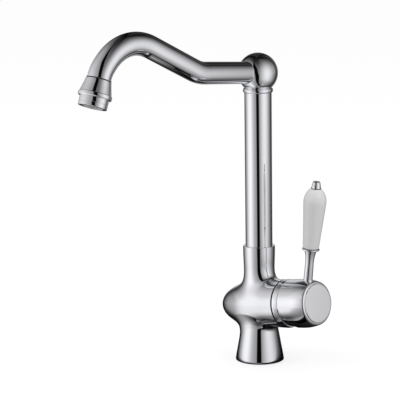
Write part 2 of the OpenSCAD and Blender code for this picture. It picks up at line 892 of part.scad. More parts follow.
module lever_stem() {
    slim_h = lever_flange_h - trumpet_len;
    slim_r = lever_slim_d / 2;
    edge = lever_flange_t / 2;
    color(CHROME)
        along_lever()
            difference() {
                rotate_extrude()
                    polygon(concat(
                        [[0, lever_socket_h - lever_tenon_len],
                            [lever_tenon_d / 2, lever_socket_h - lever_tenon_len],
                            [lever_tenon_d / 2, lever_socket_h],
                            [lever_stem_d / 2, lever_socket_h],
                            [lever_stem_d / 2, lever_socket_h + 4]],
                        [for (i = [0 : STEPS])
                            [slim_r + (trumpet_d / 2 - slim_r) * pow(i / STEPS, 2.4),
                                slim_h + trumpet_len * i / STEPS]],
                        arc([lever_flange_d / 2 - edge, lever_flange_h + edge], edge, -90, 90),
                        [[0, lever_flange_h + lever_flange_t]]
                    ));
                translate([0, 0, tie_rod_bottom - 0.5])
                    cylinder(r = tie_rod_r + still_fit, h = lever_flange_h);
            }
}

module lever_grip() {
    chamfer = 0.5;
    crown = grip_bottom + grip_taper_len;
    color(CERAMIC)
        along_lever()
            difference() {
                rotate_extrude()
                    polygon(concat(
                        [[0, grip_bottom], [grip_bottom_d / 2 - chamfer, grip_bottom],
                            [grip_bottom_d / 2, grip_bottom + chamfer]],
                        [for (i = [0 : STEPS])
                            let (a = grip_top_a * i / STEPS)
                            [grip_d / 2 * cos(a), crown + grip_crown_h * sin(a)]],
                        [[0, grip_top]]
                    ));
                translate([0, 0, grip_bottom - OVER])
                    cylinder(r = tie_rod_r + 0.4, h = grip_top - grip_bottom + 2 * OVER);
            }
}

module lever_finial() {
    round_r = 1.2;
    color(CHROME)
        along_lever()
            difference() {
                rotate_extrude()
                    polygon(concat(
                        [[0, finial_bottom], [finial_d / 2, finial_bottom]],
                        arc([finial_top_d / 2 - round_r + 0.2,
                            finial_bottom + finial_h - round_r], round_r, 10, 90),
                        [[0, finial_bottom + finial_h]]
                    ));
                translate([0, 0, finial_bottom - OVER])
                    cylinder(r = tie_rod_r + still_fit, h = tie_rod_top - finial_bottom + 0.2 + OVER);
            }
}

module lever_tie_rod() {
    color(STEEL)
        along_lever()
            translate([0, 0, tie_rod_bottom])
                cylinder(r = tie_rod_r, h = tie_rod_top - tie_rod_bottom);
}

module grip_washers() {
    washer_r = grip_top_d / 2 - 0.2;
    color(RUBBER)
        along_lever()
            for (h = [grip_bottom - grip_washer_t, grip_top])
                translate([0, 0, h])
                    ring(washer_r, tie_rod_r + 0.1, grip_washer_t);
}

// ---- Spout ----

module riser_spigot() {
    color(BRASS)
        difference() {
            union() {
                translate([0, 0, spigot_bottom])
                    cylinder(r = spigot_r, h = spigot_flange_z - spigot_bottom);
                translate([0, 0, spigot_flange_z])
                    cylinder(r = riser_r - still_fit, h = spigot_flange_h);
                translate([0, 0, riser_bottom])
                    cylinder(r = riser_bore_r - still_fit, h = plug_len);
            }
            translate([0, 0, spigot_bottom - OVER])
                cylinder(d = spigot_bore_d, h = riser_bottom + plug_len - spigot_bottom + 2 * OVER);
            for (gap = o_ring_gaps)
                translate([0, 0, bore_bottom + gap])
                    ring(neck_bore_r, o_ring_groove_r, o_ring_groove_h);
            for (gap = bush_gaps)
                translate([0, 0, bore_bottom + gap])
                    ring(neck_bore_r, bush_r - bush_wall - still_fit, bush_h + 2 * still_fit);
            translate([0, 0, screw_z - screw_groove_h / 2])
                ring(neck_bore_r, screw_groove_r, screw_groove_h);
        }
}

module spigot_o_rings() {
    color(RUBBER)
        for (gap = o_ring_gaps)
            translate([0, 0, bore_bottom + gap + o_ring_groove_h / 2])
                rotate_extrude()
                    translate([o_ring_r, 0])
                        circle(d = o_ring_cord);
}

module spigot_bushes() {
    color(POM)
        for (gap = bush_gaps)
            translate([0, 0, bore_bottom + gap + still_fit])
                ring(bush_r, bush_r - bush_wall, bush_h);
}

module riser_tube() {
    color(CHROME)
        translate([0, 0, riser_bottom])
            ring(riser_r, riser_bore_r, riser_top - riser_bottom);
}

module riser_collar() {
    bead_r = collar_h / 2;
    bottom = collar_top - collar_h;
    color(CHROME)
        rotate_extrude()
            polygon(concat(
                [[riser_r + still_fit, bottom]],
                [for (i = [0 : 2 * STEPS])
                    let (a = -90 + 90 * i / STEPS)
                    [riser_r + 0.3 + (collar_d / 2 - riser_r - 0.3) * cos(a),
                        bottom + bead_r * (1 + sin(a))]],
                [[ball_plug_r + still_fit, collar_top], [ball_plug_r + still_fit, riser_top],
                    [riser_r + still_fit, riser_top]]
            ));
}

module elbow_ball() {
    color(CHROME)
        difference() {
            union() {
                difference() {
                    translate([0, 0, ball_z])
                        sphere(r = ball_r);
                    translate([0, 0, collar_top - ball_r])
                        cylinder(r = ball_r, h = ball_r);
                }
                translate([0, 0, riser_top - ball_plug_len])
                    cylinder(r = ball_plug_r, h = ball_z - riser_top);
            }
            translate([0, 0, ball_z])
                sphere(d = ball_chamber_d);
            translate([0, 0, riser_top - ball_plug_len - OVER])
                cylinder(r = ball_plug_r - 2.2, h = ball_z - riser_top + ball_plug_len + OVER);
            in_spout_plane()
                translate([0, ball_z, 0])
                    rotate([0, 90, arm_rise_a]) {
                        cylinder(r = arm_bore_r, h = ball_d);
                        translate([0, 0, arm_start - bend_lap - still_fit])
                            cylinder(r = arm_r + still_fit, h = ball_d);
                    }
        }
}

// A straight length of the bar, from a point of the path; it reaches a hair past both of its ends
module bar_straight(from, a, len, bar_r) {
    translate([from.x, from.y, 0])
        rotate([0, 90, a])
            translate([0, 0, -bend_lap])
                cylinder(r = bar_r, h = len + 2 * bend_lap);
}

// A bend of the bar about its centre; the tube draws in a hair where it is bent
module bar_bend(centre, from_a, turn_a, bend_r, bar_r) {
    translate([centre.x, centre.y, 0])
        rotate([0, 0, from_a])
            rotate_extrude(angle = turn_a)
                translate([bend_r, 0])
                    circle(r = bar_r - bend_draw);
}

// A round bar along the arm's path, from the ball to the outlet
module arm_bar(bar_r, past) {
    start = [0, ball_z] + (arm_start - past) * turn(arm_rise_a);
    in_spout_plane() {
        bar_straight(start, arm_rise_a, arm_run - arm_start + past, bar_r);
        bar_bend(c_up, arm_rise_a - 90, arm_slope_a - arm_rise_a, arm_up_r, bar_r);
        bar_straight(p_up, arm_slope_a, arm_slope_len, bar_r);
        bar_bend(c_down, 90 - arm_down_a, arm_slope_a + arm_down_a, arm_down_r, bar_r);
        bar_straight(p_down, -arm_down_a, arm_tip_run, bar_r);
        bar_bend(c_tip, 90 - arm_outlet_a, arm_outlet_a - arm_down_a, arm_tip_r, bar_r);
        bar_straight(p_end, -arm_outlet_a, arm_socket + past, bar_r);
    }
}

module spout_arm() {
    color(CHROME)
        difference() {
            arm_bar(arm_r, 0);
            arm_bar(arm_bore_r, OVER);
        }
}

module spout_nozzle() {
    bead_s = nozzle_cone_len;
    bead_mid = bead_s + nozzle_bead_w / 2;
    color(CHROME)
        along_outlet()
            difference() {
                rotate_extrude()
                    polygon(concat(
                        [[0, 0], [nozzle_top_d / 2, 0], [nozzle_cone_d / 2, nozzle_cone_len]],
                        [for (i = [1 : STEPS])
                            let (a = -90 + 180 * i / STEPS)
                            [nozzle_bead_d / 2 - nozzle_bead_w / 4 * (1 - cos(a)),
                                bead_mid + nozzle_bead_w / 2 * sin(a)]],
                        [[aerator_d / 2, nozzle_end], [0, nozzle_end]]
                    ));
                translate([0, 0, -OVER])
                    cylinder(r = arm_r + still_fit, h = arm_socket + bend_lap + still_fit + OVER);
                translate([0, 0, -OVER])
                    cylinder(d = nozzle_bore_d, h = nozzle_end);
                translate([0, 0, thread_top])
                    cylinder(r = aerator_thread_r + still_fit, h = nozzle_end);
            }
}

module aerator_housing() {
    chamfer = 0.5;
    color(CHROME)
        along_outlet()
            difference() {
                rotate_extrude()
                    polygon([
                        [0, aerator_top],
                        [aerator_thread_r, aerator_top],
                        [aerator_thread_r, nozzle_end],
                        [aerator_d / 2, nozzle_end],
                        [aerator_d / 2, aerator_end - chamfer],
                        [aerator_d / 2 - chamfer, aerator_end],
                        [0, aerator_end]
                    ]);
                translate([0, 0, aerator_top - OVER])
                    cylinder(r = aerator_bore_r, h = aerator_end - aerator_lip_h - aerator_top + OVER);
                translate([0, 0, aerator_top])
                    cylinder(r = aerator_bore_r - aerator_lip_w, h = aerator_len + nozzle_end);
            }
}

module aerator_insert() {
    plate_h = 2;
    wall = 1.4;
    hole_r = insert_hole_d / 2;
    circles = [[insert_r - wall - 1.5, insert_holes], [insert_r - wall - 4.6, insert_holes - 5],
        [insert_r - wall - 7.6, 4]];
    color(POM)
        along_outlet(insert_top)
            difference() {
                cylinder(r = insert_r, h = insert_h);
                translate([0, 0, -OVER])
                    cylinder(r = insert_r - wall, h = insert_h - plate_h + OVER);
                for (c = circles)
                    for (i = [0 : c[1] - 1])
                        rotate([0, 0, i * 360 / c[1]])
                            translate([c[0], 0, insert_h - plate_h - OVER])
                                cylinder(r = hole_r, h = plate_h + 2 * OVER, $fn = 24);
            }
}

module aerator_screen() {
    color(STEEL)
        along_outlet(insert_top - screen_h)
            cylinder(r = insert_r, h = screen_h);
}

module aerator_gasket() {
    color(RUBBER)
        along_outlet(thread_top)
            ring(aerator_thread_r, nozzle_bore_d / 2, gasket_h);
}

body_casting();
base_seal();
trim_ring();
cartridge_cover();
cartridge_nut();
cartridge_housing();
cartridge_base();
cartridge_seals();
fixed_disc();
neck_screw();
slip_washer();
cartridge_rotor();
pivot_pin();
moving_disc();
disc_carrier();
cartridge_shank();
handle_cap();
handle_end_disc();
handle_set_screw();
lever_stem();
lever_grip();
lever_finial();
lever_tie_rod();
grip_washers();
riser_spigot();
spigot_o_rings();
spigot_bushes();
riser_tube();
riser_collar();
elbow_ball();
spout_arm();
spout_nozzle();
aerator_housing();
aerator_insert();
aerator_screen();
aerator_gasket();
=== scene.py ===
import math

import bmesh
import bpy
import numpy as np
from mathutils import Matrix, Vector


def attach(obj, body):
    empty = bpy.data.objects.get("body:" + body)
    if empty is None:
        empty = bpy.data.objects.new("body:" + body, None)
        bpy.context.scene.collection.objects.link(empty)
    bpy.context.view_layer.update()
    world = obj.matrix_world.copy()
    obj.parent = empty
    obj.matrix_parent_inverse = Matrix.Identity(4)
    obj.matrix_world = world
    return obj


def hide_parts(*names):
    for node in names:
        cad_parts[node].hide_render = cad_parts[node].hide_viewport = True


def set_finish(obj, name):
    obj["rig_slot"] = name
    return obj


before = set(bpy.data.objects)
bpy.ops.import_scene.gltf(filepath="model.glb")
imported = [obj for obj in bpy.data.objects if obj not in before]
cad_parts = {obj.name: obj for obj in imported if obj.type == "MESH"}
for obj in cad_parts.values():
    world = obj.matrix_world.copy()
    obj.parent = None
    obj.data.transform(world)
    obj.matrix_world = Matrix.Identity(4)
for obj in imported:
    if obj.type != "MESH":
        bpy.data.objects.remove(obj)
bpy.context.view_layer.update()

MM = 0.001
TAU = 2 * math.pi

# ---------------------------------------------------------------- sizes, in millimetres
# _R is a radius and _Z a height over the worktop. _S is a distance along the barrel's axis,
# from the riser's axis for the casting and from the lever's pivot for the cap.
ON_AXIS = 1e-6  # a smaller radius counts as zero
FIT = 0.05  # room between pieces that fit into each other
END_FIT = 0.15  # room at the arm's two ends

# Casting: the barrel with its egg-shaped closed end, its mouth and the cartridge's seat
BARREL_Z = 60.0
TILT = math.radians(9.5)
PIVOT_S = 49.0
MOUTH_S = 41.2
MOUTH_R = 25.1
MOUTH_STEP_R = 22.0
MOUTH_GROOVE_W = 1.9
SEAT_S = 33.2
SEAT_R = 19.95
CARTRIDGE_BORE_S = 22.0
CARTRIDGE_BORE_R = 17.6
EGG_R = 22.8
EGG_LONG = 43.2
EGG_S = -6.0

# Casting: the foot, its seal's groove, its hollow, the two inlets and the stud's hole
FOOT_R = 25.3
FOOT_LIP = 1.8
LIP_SOFT = 0.04
WAIST_R = 18.5
WAIST_Z = 39.0
WAIST_SOFT = 0.58
SEAL_OUT_R = 23.0
SEAL_IN_R = 20.0
SEAL_DEPTH = 2.0
HOLLOW_R = 17.0
HOLLOW_Z = 16.0
INLET_X = 4.0
INLET_Y = 8.5
INLET_R = 4.5
INLET_DEPTH = 12.0
STUD_X = -9.5
STUD_R = 3.4
STUD_DEPTH = 18.0

# Casting: the neck with its bores
NECK_R = 16.6
NECK_ROOT_R = 15.9
NECK_Z = 122.3
NECK_FLARE_Z = 92.0
NECK_RIM_H = 4.0
COUNTERBORE_R = 14.07
COUNTERBORE_Z = 117.0
NECK_BORE_R = 12.6
NECK_BORE_Z = 86.0

# Casting: the fillets. The one on the foot widens from the mouth's side to the closed end's.
NECK_FILLET = 19.5
FOOT_FILLET_RIGHT = 7.5
FOOT_FILLET_LEFT = 18.0
FILLET_RIGHT_X = 10.0
FILLET_LEFT_X = -16.0

# Casting: where its skin ends and the turned ends begin, and the grid the skin is drawn from
RIM_CUT = 1.0
FOOT_CUT = 1.6
MOUTH_CUT = 2.6
GRID_LOW = (-53, -29, -6)
GRID_HIGH = (56, 29, 130)
GRID_STEP = 1.0

# Riser tube, collar and ball
RISER_R = 14.0
RISER_BORE_R = 12.9
RISER_TOP = 283.4
RISER_BOTTOM = 119.42
COLLAR_R = 15.45
COLLAR_SHOULDER_R = 15.2
COLLAR_BOTTOM = 280.9
COLLAR_TOP = 285.8
BALL_Z = 301.0
BALL_R = 20.5
PLUG_R = 12.85
PLUG_LEN = 11.0

# Spout arm: a run, a bend up, a sloped run and a bend down that tightens at the tip.
# RISE, SLOPE, DOWN and OUT are headings in degrees.
ARM_R = 11.25
ARM_WALL = 1.1
ARM_START = 12.0
ARM_RUN = 75.4
ARM_RISE = 3.6
ARM_SLOPE = 24.4
ARM_SLOPE_LEN = 61.4
ARM_UP_R = 46.0
ARM_DOWN_R = 48.3
ARM_DOWN = 48.0
ARM_TIP_RUN = 2.5
ARM_TIP_R = 34.7
ARM_OUT = 70.5
ARM_SOCKET = 4.0

# Nozzle and aerator, with heights from the nozzle's upper edge on
NOZZLE_TOP_R = 11.9
NOZZLE_GROOVE_R = 11.45
NOZZLE_RIM_R = 15.2
NOZZLE_BEAD_R = 15.9
NOZZLE_BORE_R = 9.5
NOZZLE_THREAD_R = 12.05
NOZZLE_THREAD_H = 11.0
NOZZLE_H = 18.3
AERATOR_R = 13.7
AERATOR_GROOVE_R = 13.5
AERATOR_THREAD_R = 12.0
AERATOR_BORE_R = 10.9
AERATOR_LIP_R = 10.0
AERATOR_LIP_H = 26.1
AERATOR_TOP_H = 12.1
AERATOR_END_H = 27.1

# Trim ring and ball-shaped cover at the barrel's mouth
TRIM_H = 5.8
TRIM_TAPER = 1.1
TRIM_BORE_R = 20.35
TRIM_WALL_R = 23.45
TRIM_FLOOR = 1.2
COVER_R = 23.4
COVER_WALL = 1.2
COVER_HOLE_R = 14.5

# Handle cap with the cut below that lets it tilt, and its end disc
CAP_R = 24.8
CAP_INNER_R = 23.75
CAP_END = 33.0
CAP_ROUND_R = 2.6
CAP_EDGE = -1.2
CAP_EDGE_ROUND = 0.28
CAP_BULGE_R = 55.0
CAP_BULGE_S = 14.0
CAP_CUT_A = math.radians(31)
CAP_CUT_START = 1.0
CAP_CUT_TOP = 8.4
CAP_WELL_R = 5.1
CAP_WELL_ROOF = 0.5
END_DISC_R = 19.2
END_DISC_H = 2.0
END_DISC_GAP = 0.15
END_DISC_SUNK = 0.15

# Lever: stem, grip and finial, with heights from the barrel's axis on
LEVER_S = 16.4
LEVER_LEAN = math.radians(16)
SOCKET_H = 22.2
SPIGOT_R = 4.0
SPIGOT_LEN = 4.7
STEM_FOOT_R = 4.6
STEM_FOOT_LEN = 4.0
SLIM_R = 4.35
TRUMPET_R = 6.5
TRUMPET_LEN = 14.0
FLANGE_H = 56.4
FLANGE_T = 1.9
FLANGE_R = 8.9
ROD_HOLE_R = 2.55
ROD_HOLE_LEN = 6.5
WASHER_T = 0.5
GRIP_H = FLANGE_H + FLANGE_T + WASHER_T
GRIP_BORE_R = 2.9
GRIP_LOW_R = 8.1
GRIP_R = 11.55
GRIP_TOP_R = 5.3
GRIP_TAPER = 47.3
CROWN_H = 15.5
FINIAL_R = 4.8
FINIAL_TOP_R = 3.75
FINIAL_LEN = 7.0


# ---------------------------------------------------------------- frames
def place(origin, z_axis, x_axis):
    """A frame at an origin, with its z along one direction and its x turned towards another."""
    z = Vector(z_axis).normalized()
    x = Vector(x_axis)
    x = (x - z * x.dot(z)).normalized()
    y = z.cross(x)
    m = Matrix((x, y, z)).transposed().to_4x4()
    m.translation = Vector(origin)
    return m


AXIS = Vector((math.cos(TILT), 0, math.sin(TILT)))
ACROSS = Vector((-math.sin(TILT), 0, math.cos(TILT)))


def on_barrel(s):
    """A frame on the barrel's axis, with its x pointing down."""
    return place(Vector((0, 0, BARREL_Z)) + AXIS * s, AXIS, -ACROSS)


UPRIGHT = Matrix.Identity(4)
AT_PIVOT = on_barrel(PIVOT_S)
lever_dir = AXIS * math.sin(LEVER_LEAN) + ACROSS * math.cos(LEVER_LEAN)
AT_LEVER = place(Vector((0, 0, BARREL_Z)) + AXIS * (PIVOT_S + LEVER_S), lever_dir, (0, 1, 0))


def heading(deg):
    """A unit vector in the arm's plane at an angle over the level."""
    a = math.radians(deg)
    return np.array([math.cos(a), math.sin(a)])


# Points (P) where the parts of the arm's middle line meet and centres (C) of its bends, in the
# arm's plane: the distance from the riser's axis and the height
P_RUN = np.array([0, BALL_Z]) + ARM_RUN * heading(ARM_RISE)
C_UP = P_RUN + ARM_UP_R * heading(ARM_RISE + 90)
P_UP = C_UP + ARM_UP_R * heading(ARM_SLOPE - 90)
P_SLOPE = P_UP + ARM_SLOPE_LEN * heading(ARM_SLOPE)
C_DOWN = P_SLOPE + ARM_DOWN_R * heading(ARM_SLOPE - 90)
P_DOWN = C_DOWN + ARM_DOWN_R * heading(90 - ARM_DOWN)
P_TIP = P_DOWN + ARM_TIP_RUN * heading(-ARM_DOWN)
C_TIP = P_TIP + ARM_TIP_R * heading(-ARM_DOWN - 90)
P_END = C_TIP + ARM_TIP_R * heading(90 - ARM_OUT)
out_dir = heading(-ARM_OUT)
AT_OUTLET = place((0, -P_END[0], P_END[1]), (0, -out_dir[0], out_dir[1]), (1, 0, 0))
arm_dir = heading(ARM_RISE)
AT_BALL = place((0, 0, BALL_Z), (0, -arm_dir[0], arm_dir[1]), (1, 0, 0))


# ---------------------------------------------------------------- mesh building
def rounded(points, closed=False):
    """An outline of (r, h) or (r, h, corner radius) points with its corners rounded."""
    pts = [(p[0], p[1], p[2] if len(p) > 2 else 0) for p in points]
    out = []
    n = len(pts)
    for i, (r, h, f) in enumerate(pts):
        if f <= 0 or (not closed and i in (0, n - 1)):
            out.append((r, h))
            continue
        here = np.array([r, h])
        a = np.array(pts[i - 1][:2]) - here
        b = np.array(pts[(i + 1) % n][:2]) - here
        la, lb = np.linalg.norm(a), np.linalg.norm(b)
        a, b = a / la, b / lb
        half = math.acos(max(-1, min(1, float(a @ b)))) / 2
        # A corner that is nearly straight stays as it is
        if half > math.radians(89.5):
            out.append((r, h))
            continue
        # The arc takes less than half of either side
        cut = min(f / math.tan(half), 0.48 * la, 0.48 * lb)
        rad = cut * math.tan(half)
        mid = (a + b) / np.linalg.norm(a + b)
        centre = here + mid * math.hypot(cut, rad)
        start = here + a * cut - centre
        end = here + b * cut - centre
        t0 = math.atan2(start[1], start[0])
        dt = (math.atan2(end[1], end[0]) - t0 + math.pi) % TAU - math.pi
        steps = max(3, int(abs(math.degrees(dt)) / 9))
        for k in range(steps + 1):
            t = t0 + dt * k / steps
            out.append((centre[0] + rad * math.cos(t), centre[1] + rad * math.sin(t)))
    return out


def arc(cx, cy, r, a0, a1, n):
    """Points of an arc in n steps, angles in degrees."""
    return [
        (cx + r * math.cos(math.radians(a)), cy + r * math.sin(math.radians(a)))
        for a in np.linspace(a0, a1, n + 1)
    ]


def linked(name, data):
    """A new object in the scene."""
    obj = bpy.data.objects.new(name, data)
    bpy.context.scene.collection.objects.link(obj)
    return obj


def write_back(bm, mesh, sharp):
    """Turns the normals outward and smooths the faces, but for edges over an angle in degrees."""
    bmesh.ops.recalc_face_normals(bm, faces=bm.faces[:])
    for f in bm.faces:
        f.smooth = True
    bm.to_mesh(mesh)
    bm.free()
    mesh.set_sharp_from_angle(angle=math.radians(sharp))


def piece_from(name, verts, faces, at=UPRIGHT, sharp=32.0):
    """A mesh object of vertices that are given in millimetres in a frame."""
    mesh = bpy.data.meshes.new(name)
    m = np.array(at)
    v = np.asarray(verts, float) @ m[:3, :3].T + m[:3, 3]
    mesh.from_pydata((v * MM).tolist(), [], faces)
    mesh.validate()
    bm = bmesh.new()
    bm.from_mesh(mesh)
    write_back(bm, mesh, sharp)
    return linked(name, mesh)


def skin_between(rings, n):
    """Faces from each ring of n vertices to the next; on the axis a ring repeats one vertex."""
    faces = []
    for a, b in zip(rings, rings[1:]):
        for k in range(n):
            j = (k + 1) % n
            q = [a[k], a[j], b[j], b[k]]
            q = [x for i, x in enumerate(q) if x != q[i - 1]]
            if len(q) > 2:
                faces.append(q)
    return faces


def lathe(name, outline, at=UPRIGHT, n=160, closed=False):
    """A solid of revolution; an open outline starts and ends on the axis."""
    verts, rings = [], []
    for r, h in outline:
        if r < ON_AXIS:
            rings.append([len(verts)] * n)
            verts.append((0, 0, h))
            continue
        rings.append(list(range(len(verts), len(verts) + n)))
        for k in range(n):
            a = TAU * k / n
            verts.append((r * math.cos(a), r * math.sin(a), h))
    if closed:
        rings.append(rings[0])
    return piece_from(name, verts, skin_between(rings, n), at)


def ringed(bm, loop, at, outline):
    """Continues an open edge that is a circle about an axis by a ring for each (r, h).

    Gives the last ring, or nothing where the outline ends on the axis.
    """
    inv = at.inverted()
    angles = []
    for v in loop:
        p = inv @ (v.co / MM)
        angles.append(math.atan2(p.y, p.x))
    prev = list(loop)
    for r, h in outline:
        if r < ON_AXIS:
            centre = bm.verts.new((at @ Vector((0, 0, h))) * MM)
            for i in range(len(prev)):
                bm.faces.new((prev[i], prev[(i + 1) % len(prev)], centre))
            return None
        ring = [
            bm.verts.new((at @ Vector((r * math.cos(a), r * math.sin(a), h))) * MM)
            for a in angles
        ]
        for i in range(len(prev)):
            j = (i + 1) % len(prev)
            bm.faces.new((prev[i], prev[j], ring[j], ring[i]))
        prev = ring
    return prev


def open_loops(bm):
    """The open edges of a mesh as loops of vertices in order."""
    left = {e for e in bm.edges if e.is_boundary}
    loops = []
    for e in bm.edges:
        if e not in left:
            continue
        left.discard(e)
        loop = [e.verts[0], e.verts[1]]
        while True:
            nxt = [x for x in loop[-1].link_edges if x in left]
            if not nxt:
                break
            left.discard(nxt[0])
            loop.append(nxt[0].other_vert(loop[-1]))
        if loop[0] is loop[-1]:
            loop.pop()
        loops.append(loop)
    return loops


def middle_of(loop):
    """Mean of a loop's vertices, in millimetres."""
    return sum((v.co for v in loop), Vector()) / len(loop) / MM


def cut_off(bm, point, outward, near=2e-6):
    """Removes what lies beyond a plane; its point is in millimetres, the tolerance in metres."""
    bmesh.ops.bisect_plane(
        bm, geom=bm.verts[:] + bm.edges[:] + bm.faces[:], plane_co=point * MM,
        plane_no=outward, clear_outer=True, dist=near,
    )


def paint_groove_shade(obj, at, r_max, h_min, h_max):
    """Gives the faces of a groove at a joint, which lie nearer the axis than r_max, the second
    material: near-black paint that stands in for the shade in the groove.
    """
    inv = at.inverted()
    for poly in obj.data.polygons:
        c = inv @ (poly.center / MM)
        if math.hypot(c.x, c.y) < r_max and h_min < c.z < h_max:
            poly.material_index = 1


def dress(obj, body, slot, *nodes):
    """Puts a visible piece on its body, in its material's slot and in the place of CAD nodes."""
    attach(obj, body)
    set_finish(obj, slot)
    if nodes:
        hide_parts(*nodes)
    return obj


def ramp(x, start, end):
    """Runs evenly from 0 at the start to 1 at the end, and stays there."""
    return np.clip((x - start) / (end - start), 0, 1)


def ease(x, start, end):
    """Like ramp, with a soft start and end."""
    t = ramp(x, start, end)
    return t * t * (3 - 2 * t)


# ---------------------------------------------------------------- body casting
# The barrel is a cone from its mouth on that runs smoothly into the egg-shaped closed end.
# EGG_TOUCH is where they touch, counted from the egg's middle.
EGG_REACH = MOUTH_S - EGG_S
EGG_SPAN = EGG_REACH**2 - EGG_LONG**2
BARREL_SLOPE = (
    MOUTH_R * EGG_REACH
    - math.sqrt((MOUTH_R * EGG_REACH) ** 2 - EGG_SPAN * (MOUTH_R**2 - EGG_R**2))
) / EGG_SPAN
EGG_TOUCH = -(EGG_LONG**2) * BARREL_SLOPE / math.hypot(EGG_LONG * BARREL_SLOPE, EGG_R)


def barrel_radius(s):
    """Radius of the cone's surface at a distance along the barrel."""
    return MOUTH_R + BARREL_SLOPE * (s - MOUTH_S)


def ellipse_distance(x, y, a, b):
    """Distance of points from an ellipse of half axes a and b, negative inside it."""
    x = np.abs(x)
    tx = np.full_like(x, math.sqrt(0.5))
    ty = tx.copy()
    for _ in range(6):
        ex, ey = (a * a - b * b) * tx**3 / a, (b * b - a * a) * ty**3 / b
        turn = np.hypot(a * tx - ex, b * ty - ey) / (np.hypot(x - ex, y - ey) + 1e-9)
        tx = np.clip(((x - ex) * turn + ex) / a, 0, 1)
        ty = np.clip(((y - ey) * turn + ey) / b, 0, 1)
        t = np.hypot(tx, ty) + 1e-12
        tx, ty = tx / t, ty / t
    nx, ny = tx / a, ty / b
    return ((x - a * tx) * nx + (y - b * ty) * ny) / np.hypot(nx, ny)


def foot_radius(z):
    """Radius of the foot at a height: a lip, a straight cone and the waist, softly joined."""
    slope = (FOOT_R - WAIST_R) / (WAIST_Z - FOOT_LIP)
    cone = FOOT_R - slope * (z - FOOT_LIP)
    low = (cone + FOOT_R - np.sqrt((cone - FOOT_R) ** 2 + LIP_SOFT)) / 2
    return (low + WAIST_R + np.sqrt((low - WAIST_R) ** 2 + WAIST_SOFT)) / 2


def neck_radius(z):
    """Radius of the neck at a height: straight at its root and a little wider at its rim."""
    return NECK_ROOT_R + (NECK_R - NECK_ROOT_R) * ease(z, NECK_FLARE_Z, NECK_Z - NECK_RIM_H)


def join(a, b, k):
    """Union of two solids with a soft fillet that starts without a step in its curvature."""
    near = np.maximum(k - np.abs(a - b), 0) / k
    return np.minimum(a, b) - near**3 * k / 6


def body_field(p):
    """Distance outside the casting, negative inside it."""
    x, y, z = p[..., 0], p[..., 1], p[..., 2]
    r = np.hypot(x, y)
    foot = np.maximum(r - foot_radius(z), z - BARREL_Z)
    neck = np.maximum(r - neck_radius(z), BARREL_Z - z)
    s = x * AXIS.x + (z - BARREL_Z) * AXIS.z
    h = np.hypot(x * ACROSS.x + (z - BARREL_Z) * ACROSS.z, y)
    lean = math.atan(BARREL_SLOPE)
    touch = EGG_S + EGG_TOUCH
    along = (s - touch) * math.cos(lean) + (h - barrel_radius(touch)) * math.sin(lean)
    egg = ellipse_distance(s - EGG_S, h, EGG_LONG, EGG_R)
    barrel = np.where(along < 0, egg, (h - barrel_radius(s)) * math.cos(lean))
    wider = (FOOT_FILLET_LEFT - FOOT_FILLET_RIGHT) * ease(x, FILLET_RIGHT_X, FILLET_LEFT_X)
    low = join(foot, barrel, FOOT_FILLET_RIGHT + wider)
    return join(neck, low, NECK_FILLET)


def field_normal(p, eps=0.02):
    """Direction in which the field grows."""
    g = np.empty_like(p)
    for i in range(3):
        d = np.zeros(3)
        d[i] = eps
        g[..., i] = body_field(p + d) - body_field(p - d)
    return g / np.linalg.norm(g, axis=-1, keepdims=True)


def field_mesh(lo, hi, step):
    """The field's zero surface as quads, with a vertex for each cell of the grid that it crosses.

    Each vertex starts at the mean of the crossings on its cell's edges and moves onto the surface.
    """
    ax = [np.arange(lo[i], hi[i] + step, step) for i in range(3)]
    grid = np.stack(np.meshgrid(*ax, indexing="ij"), axis=-1)
    f = body_field(grid)
    nx, ny, nz = f.shape
    inside = f < 0
    corners = [(i, j, k) for i in (0, 1) for j in (0, 1) for k in (0, 1)]
    count = sum(
        inside[i : nx - 1 + i, j : ny - 1 + j, k : nz - 1 + k].astype(int) for i, j, k in corners
    )
    cells = np.argwhere((count > 0) & (count < 8))
    index = -np.ones((nx - 1, ny - 1, nz - 1), int)
    index[tuple(cells.T)] = np.arange(len(cells))
    total = np.zeros((len(cells), 3))
    hits = np.zeros(len(cells))
    for a in corners:
        for axis in range(3):
            if a[axis]:
                continue
            b = list(a)
            b[axis] = 1
            ia, ib = cells + np.array(a), cells + np.array(b)
            fa, fb = f[tuple(ia.T)], f[tuple(ib.T)]
            cross = (fa < 0) != (fb < 0)
            t = np.where(cross, fa / np.where(cross, fa - fb, 1), 0)
            pa, pb = grid[tuple(ia.T)], grid[tuple(ib.T)]
            total += np.where(cross[:, None], pa + (pb - pa) * t[:, None], 0)
            hits += cross
    verts = total / hits[:, None]
    for _ in range(4):
        verts -= field_normal(verts) * body_field(verts)[:, None]
    faces = []
    for axis in range(3):
        b, c = (axis + 1) % 3, (axis + 2) % 3
        low = [slice(None)] * 3
        high = [slice(None)] * 3
        low[axis], high[axis] = slice(0, -1), slice(1, None)
        edge = inside[tuple(low)] != inside[tuple(high)]
        at = np.argwhere(edge)
        keep = (
            (at[:, b] > 0) & (at[:, b] < f.shape[b] - 1)
            & (at[:, c] > 0) & (at[:, c] < f.shape[c] - 1)
        )
        at = at[keep]
        quad = []
        for db, dc in ((1, 1), (0, 1), (0, 0), (1, 0)):
            cell = at.copy()
            cell[:, b] -= db
            cell[:, c] -= dc
            quad.append(index[tuple(cell.T)])
        quad = np.stack(quad, axis=1)
        flip = ~inside[tuple(at.T)]
        quad[flip] = quad[flip][:, ::-1]
        faces.append(quad)
    return verts, np.concatenate(faces)


